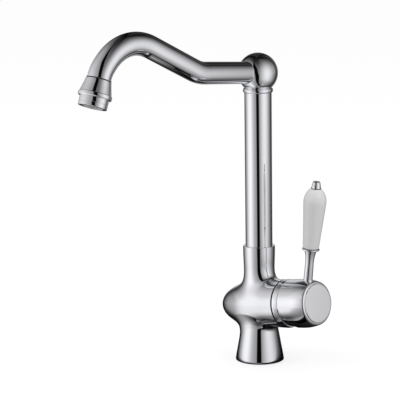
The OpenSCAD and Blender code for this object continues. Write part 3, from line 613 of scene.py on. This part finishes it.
def body_piece():
    """The casting: the field's skin, cut off at its three ends and continued by turned ones."""
    verts, faces = field_mesh(GRID_LOW, GRID_HIGH, GRID_STEP)
    mesh = bpy.data.meshes.new("casting_skin")
    mesh.from_pydata((verts * MM).tolist(), [], faces.tolist())
    bm = bmesh.new()
    bm.from_mesh(mesh)
    rim_z, mouth_s, groove_s = NECK_Z - RIM_CUT, MOUTH_S - MOUTH_CUT, MOUTH_S - MOUTH_GROOVE_W
    cut_off(bm, Vector((0, 0, rim_z)), Vector((0, 0, 1)))
    cut_off(bm, Vector((0, 0, FOOT_CUT)), Vector((0, 0, -1)))
    cut_off(bm, Vector((0, 0, BARREL_Z)) + AXIS * mouth_s, AXIS)
    bmesh.ops.dissolve_degenerate(bm, edges=bm.edges[:], dist=5e-6)
    skin = set(bm.faces)
    neck_outline = rounded([
        (NECK_R, rim_z), (NECK_R, NECK_Z, 0.7), (COUNTERBORE_R, NECK_Z, 0.25),
        (COUNTERBORE_R, COUNTERBORE_Z), (NECK_BORE_R, COUNTERBORE_Z),
        (NECK_BORE_R, NECK_BORE_Z), (0, NECK_BORE_Z),
    ])[1:]
    foot_outline = rounded([
        (FOOT_R, FOOT_CUT), (FOOT_R, 0, 0.5), (SEAL_OUT_R, 0, 0.2), (SEAL_OUT_R, SEAL_DEPTH),
        (SEAL_IN_R, SEAL_DEPTH), (SEAL_IN_R, 0, 0.2), (HOLLOW_R, 0, 0.4), (HOLLOW_R, HOLLOW_Z),
    ])[1:]
    mouth_outline = rounded([
        (barrel_radius(mouth_s), mouth_s), (barrel_radius(groove_s), groove_s, 0.15),
        (MOUTH_STEP_R, groove_s), (MOUTH_STEP_R, MOUTH_S, 0.1), (SEAT_R, MOUTH_S, 0.2),
        (SEAT_R, SEAT_S), (CARTRIDGE_BORE_R, SEAT_S), (CARTRIDGE_BORE_R, CARTRIDGE_BORE_S),
        (0, CARTRIDGE_BORE_S),
    ])[1:]
    for loop in open_loops(bm):
        mid = middle_of(loop)
        if mid.z > rim_z - 1:
            ringed(bm, loop, UPRIGHT, neck_outline)
        elif mid.z < FOOT_CUT + 1:
            hollow_ceiling(bm, ringed(bm, loop, UPRIGHT, foot_outline))
        else:
            ringed(bm, loop, on_barrel(0), mouth_outline)
    layer = bm.faces.layers.int.new("skin")
    for f in bm.faces:
        f[layer] = 1 if f in skin else 0
    write_back(bm, mesh, 32)
    # The skin takes its normals from the field, so that reflections run over it evenly
    co = np.array([v.co for v in mesh.vertices]) / MM
    own = field_normal(co)
    on_skin = np.array([a.value for a in mesh.attributes["skin"].data]) > 0
    auto = np.zeros(len(mesh.loops) * 3)
    mesh.corner_normals.foreach_get("vector", auto)
    normals = auto.reshape(-1, 3)
    for poly in mesh.polygons:
        if on_skin[poly.index]:
            for li in poly.loop_indices:
                normals[li] = own[mesh.loops[li].vertex_index]
    mesh.normals_split_custom_set(normals.tolist())
    obj = linked("casting_skin", mesh)
    # The groove at the mouth gets painted shade: its faces are made near-black
    paint_groove_shade(
        obj, on_barrel(0), r_max=barrel_radius(groove_s) - 0.05,
        h_min=groove_s - 0.1, h_max=MOUTH_S - 0.05,
    )
    return obj


def hollow_ceiling(bm, ring):
    """The flat ceiling of the foot's hollow with its two hose inlets and the stud's hole."""
    holes = [
        (INLET_X, -INLET_Y, INLET_R, INLET_DEPTH), (INLET_X, INLET_Y, INLET_R, INLET_DEPTH),
        (STUD_X, 0, STUD_R, STUD_DEPTH),
    ]
    edges = [bm.edges.get((ring[i], ring[(i + 1) % len(ring)])) for i in range(len(ring))]
    rims = []
    n = 40
    for x, y, r, depth in holes:
        turns = [TAU * k / n for k in range(n)]
        loop = [
            bm.verts.new(Vector((x + r * math.cos(a), y + r * math.sin(a), HOLLOW_Z)) * MM)
            for a in turns
        ]
        edges += [bm.edges.new((loop[k], loop[(k + 1) % n])) for k in range(n)]
        rims.append((x, y, r, depth, loop))
    bmesh.ops.triangle_fill(bm, use_beauty=True, use_dissolve=False, edges=edges, normal=(0, 0, -1))
    for x, y, r, depth, loop in rims:
        ringed(bm, loop, Matrix.Translation((x, y, HOLLOW_Z)), [(r, depth), (0, depth)])


casting = dress(body_piece(), "valve_body", "chrome", "body_casting")

# ---------------------------------------------------------------- riser, collar, ball
tube = dress(
    lathe("riser_tube_skin", rounded([
        (RISER_BORE_R, RISER_BOTTOM), (RISER_R, RISER_BOTTOM, 0.2), (RISER_R, RISER_TOP),
        (RISER_BORE_R, RISER_TOP),
    ], closed=True), n=192, closed=True),
    "spout", "chrome", "riser_tube",
)
collar = dress(
    lathe("collar_skin", rounded([
        (RISER_R + FIT, COLLAR_BOTTOM), (RISER_R + 0.5, COLLAR_BOTTOM, 0.3),
        (COLLAR_SHOULDER_R, 281.7, 0.7), (COLLAR_R, 283.3, 1.2), (COLLAR_SHOULDER_R, 284.9, 0.7),
        (14.4, COLLAR_TOP, 0.5), (RISER_BORE_R, COLLAR_TOP), (RISER_BORE_R, RISER_TOP),
        (RISER_R + FIT, RISER_TOP),
    ], closed=True), n=192, closed=True),
    "spout", "chrome", "riser_collar",
)


def ball_piece():
    """The ball, cut flat on the collar, with its plug in the riser and the arm's socket."""
    socket_r = ARM_R + FIT
    socket_floor = ARM_START - END_FIT
    plug_z = RISER_TOP - PLUG_LEN
    lip = math.degrees(math.asin(socket_r / BALL_R))
    outline = [
        (BALL_R * math.sin(math.radians(a)), BALL_R * math.cos(math.radians(a)))
        for a in np.linspace(180, lip, 90)
    ]
    outline[0] = (0, -BALL_R)
    obj = lathe("ball_skin", outline, AT_BALL, n=192)
    bm = bmesh.new()
    bm.from_mesh(obj.data)
    cut_off(bm, Vector((0, 0, COLLAR_TOP)), (0, 0, -1), near=1e-7)
    for loop in open_loops(bm):
        mid = middle_of(loop)
        if mid.z < COLLAR_TOP + 1 and abs(mid.y) < 3:
            ringed(bm, loop, UPRIGHT, [(PLUG_R, COLLAR_TOP), (PLUG_R, plug_z), (0, plug_z)])
        else:
            ringed(bm, loop, AT_BALL, [(socket_r, socket_floor), (0, socket_floor)])
    write_back(bm, obj.data, 25)
    return obj


ball = dress(ball_piece(), "spout", "chrome", "elbow_ball")


# ---------------------------------------------------------------- spout arm
def arm_path():
    """Points of the arm's middle line in its plane, each with its heading in degrees."""
    path = []
    for d in np.linspace(ARM_START, ARM_RUN, 12):
        p = np.array([0, BALL_Z]) + d * heading(ARM_RISE)
        path.append((p, ARM_RISE))
    for a in np.linspace(ARM_RISE, ARM_SLOPE, 16)[1:]:
        path.append((C_UP + ARM_UP_R * heading(a - 90), a))
    for d in np.linspace(0, ARM_SLOPE_LEN, 10)[1:]:
        path.append((P_UP + d * heading(ARM_SLOPE), ARM_SLOPE))
    for a in np.linspace(ARM_SLOPE, -ARM_DOWN, 38)[1:]:
        path.append((C_DOWN + ARM_DOWN_R * heading(a + 90), a))
    for a in np.linspace(-ARM_DOWN, -ARM_OUT, 14):
        path.append((C_TIP + ARM_TIP_R * heading(a + 90), a))
    for d in np.linspace(0, ARM_SOCKET, 3)[1:]:
        path.append((P_END + d * heading(-ARM_OUT), -ARM_OUT))
    return path


def arm_piece(n=128):
    """The bent tube: an outer and an inner wall, closed at both ends."""
    path = arm_path()
    verts = []
    for r in (ARM_R, ARM_R - ARM_WALL):
        for p, a in path:
            up = heading(a + 90)
            for k in range(n):
                t = TAU * k / n
                c = p + up * (r * math.sin(t))
                verts.append((r * math.cos(t), -c[0], c[1]))
    rings = [range(i, i + n) for i in range(0, len(verts), n)]
    m = len(path)
    faces = skin_between(rings[:m], n) + skin_between(rings[m:], n)
    for i in (0, m - 1):
        faces += skin_between([rings[i], rings[m + i]], n)
    return piece_from("arm_skin", verts, faces)


arm = dress(arm_piece(), "spout", "chrome", "spout_arm")

# ---------------------------------------------------------------- nozzle and aerator
nozzle = dress(
    lathe("nozzle_skin", rounded([
        # upper edge with a groove below it
        (ARM_R + FIT, 0.0), (NOZZLE_TOP_R, 0.0, 0.12), (NOZZLE_TOP_R, 0.4, 0.08),
        (NOZZLE_GROOVE_R, 0.5), (NOZZLE_GROOVE_R, 1.3), (12.1, 1.4, 0.15),
        # bell and bead
        (13.0, 5.6, 9), (NOZZLE_RIM_R, 14.1, 0.4), (NOZZLE_BEAD_R, 14.5, 0.5),
        (NOZZLE_BEAD_R, 17.6, 0.9), (NOZZLE_RIM_R, 18.1, 0.3), (AERATOR_R, NOZZLE_H),
        # aerator's thread, bore and the arm's socket
        (NOZZLE_THREAD_R, NOZZLE_H), (NOZZLE_THREAD_R, NOZZLE_THREAD_H),
        (NOZZLE_BORE_R, NOZZLE_THREAD_H), (NOZZLE_BORE_R, ARM_SOCKET + END_FIT),
        (ARM_R + FIT, ARM_SOCKET + END_FIT),
    ], closed=True), AT_OUTLET, closed=True),
    "spout", "chrome", "spout_nozzle",
)
# The groove under the nozzle's upper edge gets painted shade: its faces are made near-black
paint_groove_shade(nozzle, AT_OUTLET, r_max=11.7, h_min=0.42, h_max=1.38)
aerator = dress(
    lathe("aerator_skin", rounded([
        (AERATOR_BORE_R, AERATOR_TOP_H), (AERATOR_THREAD_R, AERATOR_TOP_H),
        (AERATOR_THREAD_R, NOZZLE_H), (AERATOR_R, NOZZLE_H, 0.15),
        (AERATOR_R, 22.6, 0.1), (AERATOR_GROOVE_R, 22.75, 0.1), (AERATOR_GROOVE_R, 23.05, 0.1),
        (AERATOR_R, 23.2, 0.1), (AERATOR_R, AERATOR_END_H, 0.5),
        (AERATOR_LIP_R, AERATOR_END_H, 0.3), (AERATOR_LIP_R, AERATOR_LIP_H),
        (AERATOR_BORE_R, AERATOR_LIP_H),
    ], closed=True), AT_OUTLET, closed=True),
    "spout", "chrome", "aerator_housing",
)

# ---------------------------------------------------------------- trim ring, cover, cap, end disc
trim_side = [(MOUTH_R - TRIM_TAPER * (i / 12) ** 1.5, TRIM_H * i / 12) for i in range(1, 12)]
trim = dress(
    lathe("trim_skin", rounded([
        (TRIM_BORE_R, 0.0), (MOUTH_R, 0.0, 0.15), *trim_side,
        (MOUTH_R - TRIM_TAPER, TRIM_H, 0.25), (TRIM_WALL_R, TRIM_H), (TRIM_WALL_R, TRIM_FLOOR),
        (TRIM_BORE_R, TRIM_FLOOR),
    ], closed=True), on_barrel(MOUTH_S), n=192, closed=True),
    "valve_body", "chrome", "trim_ring",
)


def cover_arc(r, n):
    """An arc of the ball-shaped cover, from the trim ring's floor up to the cover's hole."""
    low = math.degrees(math.asin((MOUTH_S + TRIM_FLOOR - PIVOT_S) / r))
    return arc(0, 0, r, low, math.degrees(math.acos(COVER_HOLE_R / r)), n)


cover = dress(
    lathe(
        "cover_skin", cover_arc(COVER_R, 48) + cover_arc(COVER_R - COVER_WALL, 40)[::-1],
        AT_PIVOT, closed=True,
    ),
    "valve_body", "chrome", "cartridge_cover",
)


def cut_height(x):
    """Height of the cap's open edge where it lies x below the axis."""
    return np.clip(CAP_EDGE + (x - CAP_CUT_START) * math.tan(CAP_CUT_A), CAP_EDGE, CAP_CUT_TOP)


def cap_piece(n=256):
    """The cap: rings from the well in its dome, down the inside and up the outside."""
    bulge_a = math.degrees(math.asin((CAP_END - CAP_ROUND_R - CAP_BULGE_S) / CAP_BULGE_R))
    bulge = arc(CAP_R - CAP_BULGE_R, CAP_BULGE_S, CAP_BULGE_R, 0, bulge_a, 14)
    cx = bulge[-1][0] - CAP_ROUND_R * math.cos(math.radians(bulge_a))
    cy = bulge[-1][1] - CAP_ROUND_R * math.sin(math.radians(bulge_a))
    top = arc(cx, cy, CAP_ROUND_R, bulge_a, 90, 12)
    recess_r = END_DISC_R + END_DISC_GAP
    recess_h = CAP_END - END_DISC_H
    well_h = recess_h - CAP_WELL_ROOF
    outer = bulge + top[1:] + rounded([
        (cx - 0.1, CAP_END), (recess_r, CAP_END, 0.25), (recess_r, recess_h), (0, recess_h),
    ])[1:]
    phi = TAU * np.arange(n) / n
    down = np.cos(phi)
    z_out = cut_height(CAP_R * down)
    # The inner edge follows the same cut where it meets the dome
    z_in = z_out.copy()
    for _ in range(30):
        r_in = np.sqrt(CAP_INNER_R**2 - np.maximum(z_in, 0) ** 2)
        z_in = cut_height(r_in * down)
    r_in = np.sqrt(CAP_INNER_R**2 - np.maximum(z_in, 0) ** 2)
    edge = CAP_EDGE_ROUND
    # Inner wall, from the well at its pole down to the open edge
    rings = [(0, well_h), (CAP_WELL_R, well_h)]
    steps = 40
    dome_top = math.acos(CAP_WELL_R / CAP_INNER_R)
    dome_low = np.arcsin(np.clip(np.maximum(z_in + edge, 0) / CAP_INNER_R, -1, 1))
    for k in range(steps + 1):
        a = dome_top + (dome_low - dome_top) * (k / steps)
        rings.append((CAP_INNER_R * np.cos(a), CAP_INNER_R * np.sin(a)))
    # Open edge, rounded inside and outside
    rings += [
        (r_in, z_in + edge * 0.999),
        (r_in + edge * 0.3, z_in + edge * 0.15),
        (r_in + edge, z_in),
        (CAP_R - edge, z_out),
        (CAP_R - edge * 0.3, z_out + edge * 0.3),
        (CAP_R, z_out + edge),
    ]
    # Outer wall up to the bulge
    for k in range(1, 16):
        t = k / 16
        rings.append((CAP_R, (z_out + edge) * (1 - t) + CAP_BULGE_S * t))
    verts, idx = [], []
    for r, h in rings + outer:
        r, h = np.broadcast_to(r, (n,)), np.broadcast_to(h, (n,))
        if r.max() < ON_AXIS:
            idx.append([len(verts)] * n)
            verts.append((0, 0, float(h[0])))
            continue
        idx.append(list(range(len(verts), len(verts) + n)))
        verts += list(zip(r * np.cos(phi), r * np.sin(phi), h))
    return piece_from("cap_skin", verts, skin_between(idx, n), AT_PIVOT, 28)


cap = dress(cap_piece(), "handle", "chrome", "handle_cap")
end_disc = dress(
    lathe("end_disc_skin", rounded([
        (0, CAP_END - END_DISC_H), (END_DISC_R, CAP_END - END_DISC_H),
        (END_DISC_R, CAP_END - END_DISC_SUNK, 0.25), (0, CAP_END - END_DISC_SUNK),
    ]), AT_PIVOT),
    "handle", "chrome", "handle_end_disc",
)

# ---------------------------------------------------------------- lever
trumpet_h = FLANGE_H - TRUMPET_LEN
trumpet = [
    (SLIM_R + (TRUMPET_R - SLIM_R) * (i / 16) ** 2.4, trumpet_h + TRUMPET_LEN * i / 16)
    for i in range(16)
]
stem = dress(
    lathe("stem_skin", rounded([
        (0, SOCKET_H - SPIGOT_LEN), (SPIGOT_R, SOCKET_H - SPIGOT_LEN), (SPIGOT_R, SOCKET_H),
        (STEM_FOOT_R, SOCKET_H), (STEM_FOOT_R, SOCKET_H + STEM_FOOT_LEN),
        *trumpet, (TRUMPET_R, FLANGE_H, 0.3),
    ]) + arc(FLANGE_R - FLANGE_T / 2, FLANGE_H + FLANGE_T / 2, FLANGE_T / 2, -90, 90, 14) + [
        (ROD_HOLE_R, FLANGE_H + FLANGE_T), (ROD_HOLE_R, FLANGE_H - ROD_HOLE_LEN),
        (0, FLANGE_H - ROD_HOLE_LEN),
    ], AT_LEVER, n=128),
    "handle", "chrome", "lever_stem",
)
taper = [
    (GRIP_LOW_R + (GRIP_R - GRIP_LOW_R) * t, GRIP_H + GRIP_TAPER * t)
    for t in (0.25, 0.5, 0.75, 0.9)
]
crown = [
    (GRIP_R * math.cos(math.radians(a)), GRIP_H + GRIP_TAPER + CROWN_H * math.sin(math.radians(a)))
    for a in np.linspace(0, math.degrees(math.acos(GRIP_TOP_R / GRIP_R)), 28)
]
grip_top = crown[-1][1]
grip = dress(
    lathe("grip_skin", rounded([
        (GRIP_BORE_R, GRIP_H), (GRIP_LOW_R, GRIP_H, 0.7), *taper, *crown[:-1],
        (GRIP_TOP_R, grip_top, 0.4), (GRIP_BORE_R, grip_top),
    ], closed=True), AT_LEVER, n=128, closed=True),
    "handle", "grip_ceramic", "lever_grip",
)
finial_h = grip_top + WASHER_T
finial = dress(
    lathe("finial_skin", rounded([
        (0, finial_h), (FINIAL_R, finial_h, 0.25), (FINIAL_R - 0.05, finial_h + 1.2, 0.5),
        (FINIAL_TOP_R, finial_h + 6.2, 1.6), (3.0, finial_h + 6.95, 1.5),
        (0, finial_h + FINIAL_LEN),
    ]), AT_LEVER, n=96),
    "handle", "chrome", "lever_finial",
)


# ---------------------------------------------------------------- materials
def empty_material(name):
    """A new material without a shader: the material, its node tree and its output node."""
    m = bpy.data.materials.new(name)
    m.use_nodes = True
    m.node_tree.nodes.clear()
    return m, m.node_tree, m.node_tree.nodes.new("ShaderNodeOutputMaterial")


def nodes_of(name):
    """A new material with one shader: the material, its node tree and the shader."""
    m, nt, out = empty_material(name)
    sh = nt.nodes.new("ShaderNodeBsdfPrincipled")
    nt.links.new(sh.outputs[0], out.inputs[0])
    return m, nt, sh


def coat_of_noise(nt, sh, scale, detail, rough, bump, bump_scale):
    """Varies the roughness between two values and adds a fine bump."""
    tex = nt.nodes.new("ShaderNodeTexCoord")
    noise = nt.nodes.new("ShaderNodeTexNoise")
    noise.inputs["Scale"].default_value = scale
    noise.inputs["Detail"].default_value = detail
    spread = nt.nodes.new("ShaderNodeMapRange")
    spread.inputs["To Min"].default_value, spread.inputs["To Max"].default_value = rough
    nt.links.new(tex.outputs["Object"], noise.inputs["Vector"])
    nt.links.new(noise.outputs["Fac"], spread.inputs["Value"])
    nt.links.new(spread.outputs["Result"], sh.inputs["Roughness"])
    if bump:
        fine = nt.nodes.new("ShaderNodeTexNoise")
        fine.inputs["Scale"].default_value = bump_scale
        fine.inputs["Detail"].default_value = 3
        b = nt.nodes.new("ShaderNodeBump")
        b.inputs["Strength"].default_value = 1.0
        b.inputs["Distance"].default_value = bump
        nt.links.new(tex.outputs["Object"], fine.inputs["Vector"])
        nt.links.new(fine.outputs["Fac"], b.inputs["Height"])
        nt.links.new(b.outputs["Normal"], sh.inputs["Normal"])


def metal(name, colour, rough, bump=0, bump_scale=400, metallic=1.0):
    """A metal; rough is the range of its roughness, bump a height in metres."""
    m, nt, sh = nodes_of(name)
    sh.inputs["Base Color"].default_value = (*colour, 1)
    sh.inputs["Metallic"].default_value = metallic
    coat_of_noise(nt, sh, 60, 4, rough, bump, bump_scale)
    return m


def plastic(name, colour, rough, bump, bump_scale=900):
    """A plastic, rubber or ceramic, with the same arguments as metal."""
    m, nt, sh = nodes_of(name)
    sh.inputs["Base Color"].default_value = (*colour, 1)
    coat_of_noise(nt, sh, 120, 3, rough, bump, bump_scale)
    return m


# Near-black paint for the faces of the grooves in the casting and the nozzle: painted shade in the
# grooves
PAINTED_GROOVE_SHADE = plastic("painted_groove_shade", (0.012, 0.012, 0.012), (0.5, 0.7), 2e-5)
CHROME = metal("chrome", (0.855, 0.858, 0.893), (0.0, 0.025))
SATIN = metal("satin_chrome", (0.90, 0.90, 0.92), (0.38, 0.46), 4e-6, 900, metallic=0.45)
BRASS = metal("brass", (0.80, 0.60, 0.28), (0.22, 0.38), 2e-5)
STEEL = metal("steel", (0.60, 0.60, 0.61), (0.18, 0.32), 2e-5)
GRIP = plastic("grip_ceramic", (0.88, 0.88, 0.89), (0.10, 0.18), 1e-5)
ALUMINA = plastic("disc_ceramic", (0.82, 0.80, 0.74), (0.12, 0.2), 1e-5)
RUBBER = plastic("rubber", (0.02, 0.02, 0.02), (0.45, 0.65), 3e-5)
GREY = plastic("grey_plastic", (0.30, 0.31, 0.33), (0.3, 0.45), 2e-5)
WHITE = plastic("white_plastic", (0.78, 0.78, 0.74), (0.3, 0.45), 2e-5)
BY_SLOT = {
    "chrome": CHROME, "brass": BRASS, "steel": STEEL, "grip_ceramic": GRIP,
    "disc_ceramic": ALUMINA, "rubber": RUBBER, "grey_plastic": GREY, "white_plastic": WHITE,
}
# The end disc is satin, and the two pieces with a groove have the near-black painted groove shade
# as their second material
VISIBLE = (
    casting, tube, collar, ball, arm, nozzle, aerator, trim, cover, cap, end_disc, stem, grip,
    finial,
)
for o in VISIBLE:
    o.data.materials.append(SATIN if o is end_disc else BY_SLOT[o["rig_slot"]])
for o in (casting, nozzle):
    o.data.materials.append(PAINTED_GROOVE_SHADE)

# CAD nodes that are shown as they are, with their slots
NODE_SLOT = {
    "base_seal": "rubber", "cartridge_nut": "brass", "cartridge_housing": "grey_plastic",
    "cartridge_base": "grey_plastic", "cartridge_seals": "rubber", "fixed_disc": "disc_ceramic",
    "neck_screw": "steel", "slip_washer": "white_plastic", "cartridge_rotor": "white_plastic",
    "pivot_pin": "steel", "moving_disc": "disc_ceramic", "disc_carrier": "white_plastic",
    "cartridge_shank": "steel", "handle_set_screw": "steel", "lever_tie_rod": "steel",
    "grip_washers": "rubber", "riser_spigot": "brass", "spigot_o_rings": "rubber",
    "spigot_bushes": "white_plastic", "aerator_insert": "white_plastic",
    "aerator_screen": "steel", "aerator_gasket": "rubber",
}
for n, s in NODE_SLOT.items():
    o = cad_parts[n]
    if o.material_slots:
        for ms in o.material_slots:
            ms.material = BY_SLOT[s]
    else:
        o.data.materials.append(BY_SLOT[s])

# ---------------------------------------------------------------- floor, light, camera
# The camera's place in metres, its axes, and its focal length in pixels of a square picture
CAMERA_AT = (1.00776, -1.07184, 0.42469)
CAMERA_RIGHT = (0.70138432, 0.71264582, -0.01399878)
CAMERA_UP = (-0.11176957, 0.12935756, 0.98527873)
CAMERA_BACK = (0.70396562, -0.68949442, 0.17038148)
CAMERA_AZIMUTH = math.degrees(math.atan2(CAMERA_BACK[1], CAMERA_BACK[0]))
FOCAL_PX = 1445.7
PICTURE_PX = 400
SENSOR = 36

FLOOR_HALF = 20
FLOOR_GREY = 0.4
FLOOR_GLOW = 0.695
AMBIENT = 0.72
LAMP_AIM = (0, 0, 0.15)
LAMP_SIZE = 1.2


def math_node(nt, kind, a, b):
    """Output of a node that works on two numbers or sockets."""
    n = nt.nodes.new("ShaderNodeMath")
    n.operation = kind
    for i, x in enumerate((a, b)):
        if isinstance(x, (int, float)):
            n.inputs[i].default_value = x
        else:
            nt.links.new(x, n.inputs[i])
    return n.outputs[0]


def seen_directly(nt):
    """1 for camera, glossy and transmission rays, else 0."""
    lp = nt.nodes.new("ShaderNodeLightPath")
    both = math_node(nt, "MAXIMUM", lp.outputs["Is Camera Ray"], lp.outputs["Is Glossy Ray"])
    return math_node(nt, "MAXIMUM", both, lp.outputs["Is Transmission Ray"])


def stage_piece(name, verts, faces):
    """A mesh object that belongs to the studio and not to the tap."""
    mesh = bpy.data.meshes.new(name)
    mesh.from_pydata(verts, [], faces)
    o = linked(name, mesh)
    return o


# A grey floor that takes the tap's shadow and looks white by its glow
floor = stage_piece(
    "floor",
    [(x * FLOOR_HALF, y * FLOOR_HALF, 0) for x, y in ((-1, -1), (1, -1), (1, 1), (-1, 1))],
    [(0, 1, 2, 3)],
)
floor_white, nt, out = empty_material("floor_white")
diffuse = nt.nodes.new("ShaderNodeBsdfDiffuse")
diffuse.inputs["Color"].default_value = (FLOOR_GREY, FLOOR_GREY, FLOOR_GREY, 1)
glow = nt.nodes.new("ShaderNodeEmission")
nt.links.new(math_node(nt, "MULTIPLY", seen_directly(nt), FLOOR_GLOW), glow.inputs["Strength"])
add = nt.nodes.new("ShaderNodeAddShader")
nt.links.new(diffuse.outputs[0], add.inputs[0])
nt.links.new(glow.outputs[0], add.inputs[1])
nt.links.new(add.outputs[0], out.inputs[0])
floor.data.materials.append(floor_white)

# A white world, dimmer where it only lights matt surfaces
world = bpy.data.worlds.new("studio")
bpy.context.scene.world = world
world.use_nodes = True
wnt = world.node_tree
bg = wnt.nodes["Background"]
bg.inputs[0].default_value = (1, 1, 1, 1)
lift = math_node(wnt, "MULTIPLY", seen_directly(wnt), 1 - AMBIENT)
wnt.links.new(math_node(wnt, "ADD", lift, AMBIENT), bg.inputs[1])

# Studio cards round the tap, which only mirror-like surfaces see: two large soft
# panels left and right of the camera, dark gaps between them and behind, a dark ceiling.
# Each table has rows of (degrees, value). First the light by azimuth from the camera,
# then what each card makes of it by elevation.
CARD_R = 0.5
CARD_C = np.array([0, -0.03, 0.25])
CARD_FOOT_Z = 0.001
GAP_LIGHT = 0.01
ROUND = [
    (-180, 0.70), (-170, 0.55), (-163, 0.20), (-156, 0.03), (-149, 0.08), (-140, 0.20),
    (-128, 0.38), (-116, 0.55), (-106, 0.75), (-96, 0.99), (-86, 1.08), (-76, 1.12),
    (-66, 1.05), (-56, 0.85), (-46, 0.63), (-36, 0.49), (-26, 0.40), (-14, 0.32), (-4, 0.27),
    (7, 0.27), (15, 0.43), (25, 0.60), (35, 0.79), (45, 0.92), (55, 0.97), (65, 0.92),
    (75, 0.79), (85, 0.63), (95, 0.43), (105, 0.26), (114, 0.20), (120, 0.06), (138, 0.05),
    (146, 0.20), (155, 0.12), (163, 0.30), (170, 0.60), (180, 0.70),
]
HIGH_LEFT = [
    (-90, 0.12), (-84, 0.24), (-79, 0.60), (-71, 0.84), (-62, 0.86), (-46, 0.88), (-30, 0.95),
    (-15, 1.0), (-4, 0.97), (5, 0.84), (15, 0.74), (25, 0.65), (35, 0.54), (45, 0.44),
    (55, 0.31), (64, 0.14), (72, 0.03), (90, 0.01),
]
# The right card's lowest rows are near black: a dark card below the tap, and painted shade that
# stands in for the cap's shadow on the floor beneath it
HIGH_RIGHT = [
    (-90, 0.04), (-80, 0.01), (-74, 0.02), (-70, 0.05), (-62, 0.22), (-54, 0.37), (-45, 0.49),
    (-36, 0.62), (-28, 0.87), (-15, 0.96), (0, 1.0), (15, 0.95), (25, 0.85), (35, 0.69),
    (45, 0.50), (55, 0.32), (65, 0.17), (75, 0.09), (85, 0.03), (90, 0.02),
]
HIGH_BACK = [
    (-90, 0.12), (-74, 0.10), (-62, 0.06), (-48, 0.06), (-40, 0.15), (-33, 0.45), (-25, 0.60),
    (-10, 0.85), (5, 1.0), (12, 0.8), (20, 0.3), (30, 0.08), (60, 0.05), (90, 0.03),
]
# Left and right edge of the dark gap, in degrees of azimuth, by elevation
GAP_LEFT = [
    (-90, 60), (-78, 34), (-70, 14), (-62, 4), (-54, -4), (-45, -10), (-30, -13), (-5, -14),
    (5, -16), (15, -18), (25, -20), (35, -24), (45, -31), (55, -36), (65, -42), (90, -50),
]
GAP_RIGHT = [
    (-90, 80), (-78, 60), (-70, 34), (-62, 28), (-54, 14), (-45, 8), (-30, 7), (-5, 6), (5, 2),
    (15, 0), (25, -2), (35, -5), (45, -12), (55, -22), (65, -32), (90, -45),
]
# How much brighter the cards' far ends are, by elevation
REACH_BACK = [(-5, 0), (8, 1), (20, 1), (40, 0.3), (60, 0)]


def look_up(table, degrees):
    """Value of a table at an angle, between its rows."""
    return np.interp(degrees, *zip(*table))


def card_light(az, el):
    """Brightness of the cards at an azimuth from the camera and an elevation, in degrees."""
    left_edge, right_edge, reach = (look_up(t, el) for t in (GAP_LEFT, GAP_RIGHT, REACH_BACK))
    around = look_up(ROUND, az)
    around *= max(ramp(left_edge - az, 0, 4), ramp(az - right_edge, 0, 3), GAP_LIGHT)
    left, right, back = (look_up(t, el) for t in (HIGH_LEFT, HIGH_RIGHT, HIGH_BACK))
    # The left card is brighter beside the gap and upwards, and both cards at their far ends
    left *= 1 + 0.35 * ramp(az, -70, -40) * ramp(el, 0, 25)
    left *= 1 + reach * ramp(az, -100, -140)
    right *= 1 + 0.5 * reach * ramp(az, 90, 110)
    # From the left card to the right one across the gap, and from both to the one behind
    side = ramp(az - (left_edge + right_edge) / 2, -5, 5)
    behind = ramp(abs(az) - np.interp(el, (-75, -50), (125, 130)), 0, 30)
    return around * ((left * (1 - side) + right * side) * (1 - behind) + back * behind)


def cards():
    """A ball round the tap, flattened over the floor, that shines by its vertices' light."""
    na, ne = 360, 170  # steps of azimuth and of elevation
    verts, light, faces = [], [], []
    for j in range(ne + 1):
        el = -89.5 + 179 * j / ne
        for i in range(na):
            az = -180 + 360 * i / na
            a, e = math.radians(az + CAMERA_AZIMUTH), math.radians(el)
            d = np.array([math.cos(e) * math.cos(a), math.cos(e) * math.sin(a), math.sin(e)])
            reach = CARD_R if d[2] >= 0 else min(CARD_R, (CARD_FOOT_Z - CARD_C[2]) / d[2])
            verts.append(tuple(CARD_C + d * reach))
            light.append(float(card_light(az, el)))
    for j in range(ne):
        for i in range(na):
            k = (i + 1) % na
            faces.append((j * na + i, j * na + k, (j + 1) * na + k, (j + 1) * na + i))
    faces.append(tuple(range(na)))
    faces.append(tuple(ne * na + i for i in range(na)))
    o = stage_piece("cards", verts, faces)
    attr = o.data.attributes.new("light", "FLOAT", "POINT")
    attr.data.foreach_set("value", light)
    for ray in ("camera", "diffuse", "shadow", "transmission", "volume_scatter"):
        setattr(o, "visible_" + ray, False)
    mat, nt, out = empty_material("cards")
    shine = nt.nodes.new("ShaderNodeEmission")
    source = nt.nodes.new("ShaderNodeAttribute")
    source.attribute_name = "light"
    nt.links.new(source.outputs["Fac"], shine.inputs["Strength"])
    nt.links.new(shine.outputs[0], out.inputs[0])
    mat.cycles.emission_sampling = "NONE"
    o.data.materials.append(mat)


cards()


def lamp(name, spot, power):
    """A square lamp that lights matt surfaces and is mirrored by none."""
    data = bpy.data.lights.new(name, "AREA")
    data.shape = "SQUARE"
    data.size = LAMP_SIZE
    data.energy = power
    o = linked(name, data)
    o.location = spot
    o.rotation_euler = (Vector(LAMP_AIM) - Vector(spot)).to_track_quat("-Z", "Y").to_euler()
    o.visible_glossy = False


lamp("lamp_left", (-0.9, -1.5, 1.5), 9)
lamp("lamp_right", (1.7, 0.2, 1.1), 7)

cam_data = bpy.data.cameras.new("camera")
cam = linked("camera", cam_data)
axes = Matrix((CAMERA_RIGHT, CAMERA_UP, CAMERA_BACK)).transposed().to_4x4()
axes.translation = Vector(CAMERA_AT)
cam.matrix_world = axes
cam_data.sensor_width = SENSOR
cam_data.lens = SENSOR * FOCAL_PX / PICTURE_PX
cam_data.clip_start = 0.05
cam_data.clip_end = 50
bpy.context.scene.camera = cam
bpy.context.scene.view_settings.view_transform = "Standard"
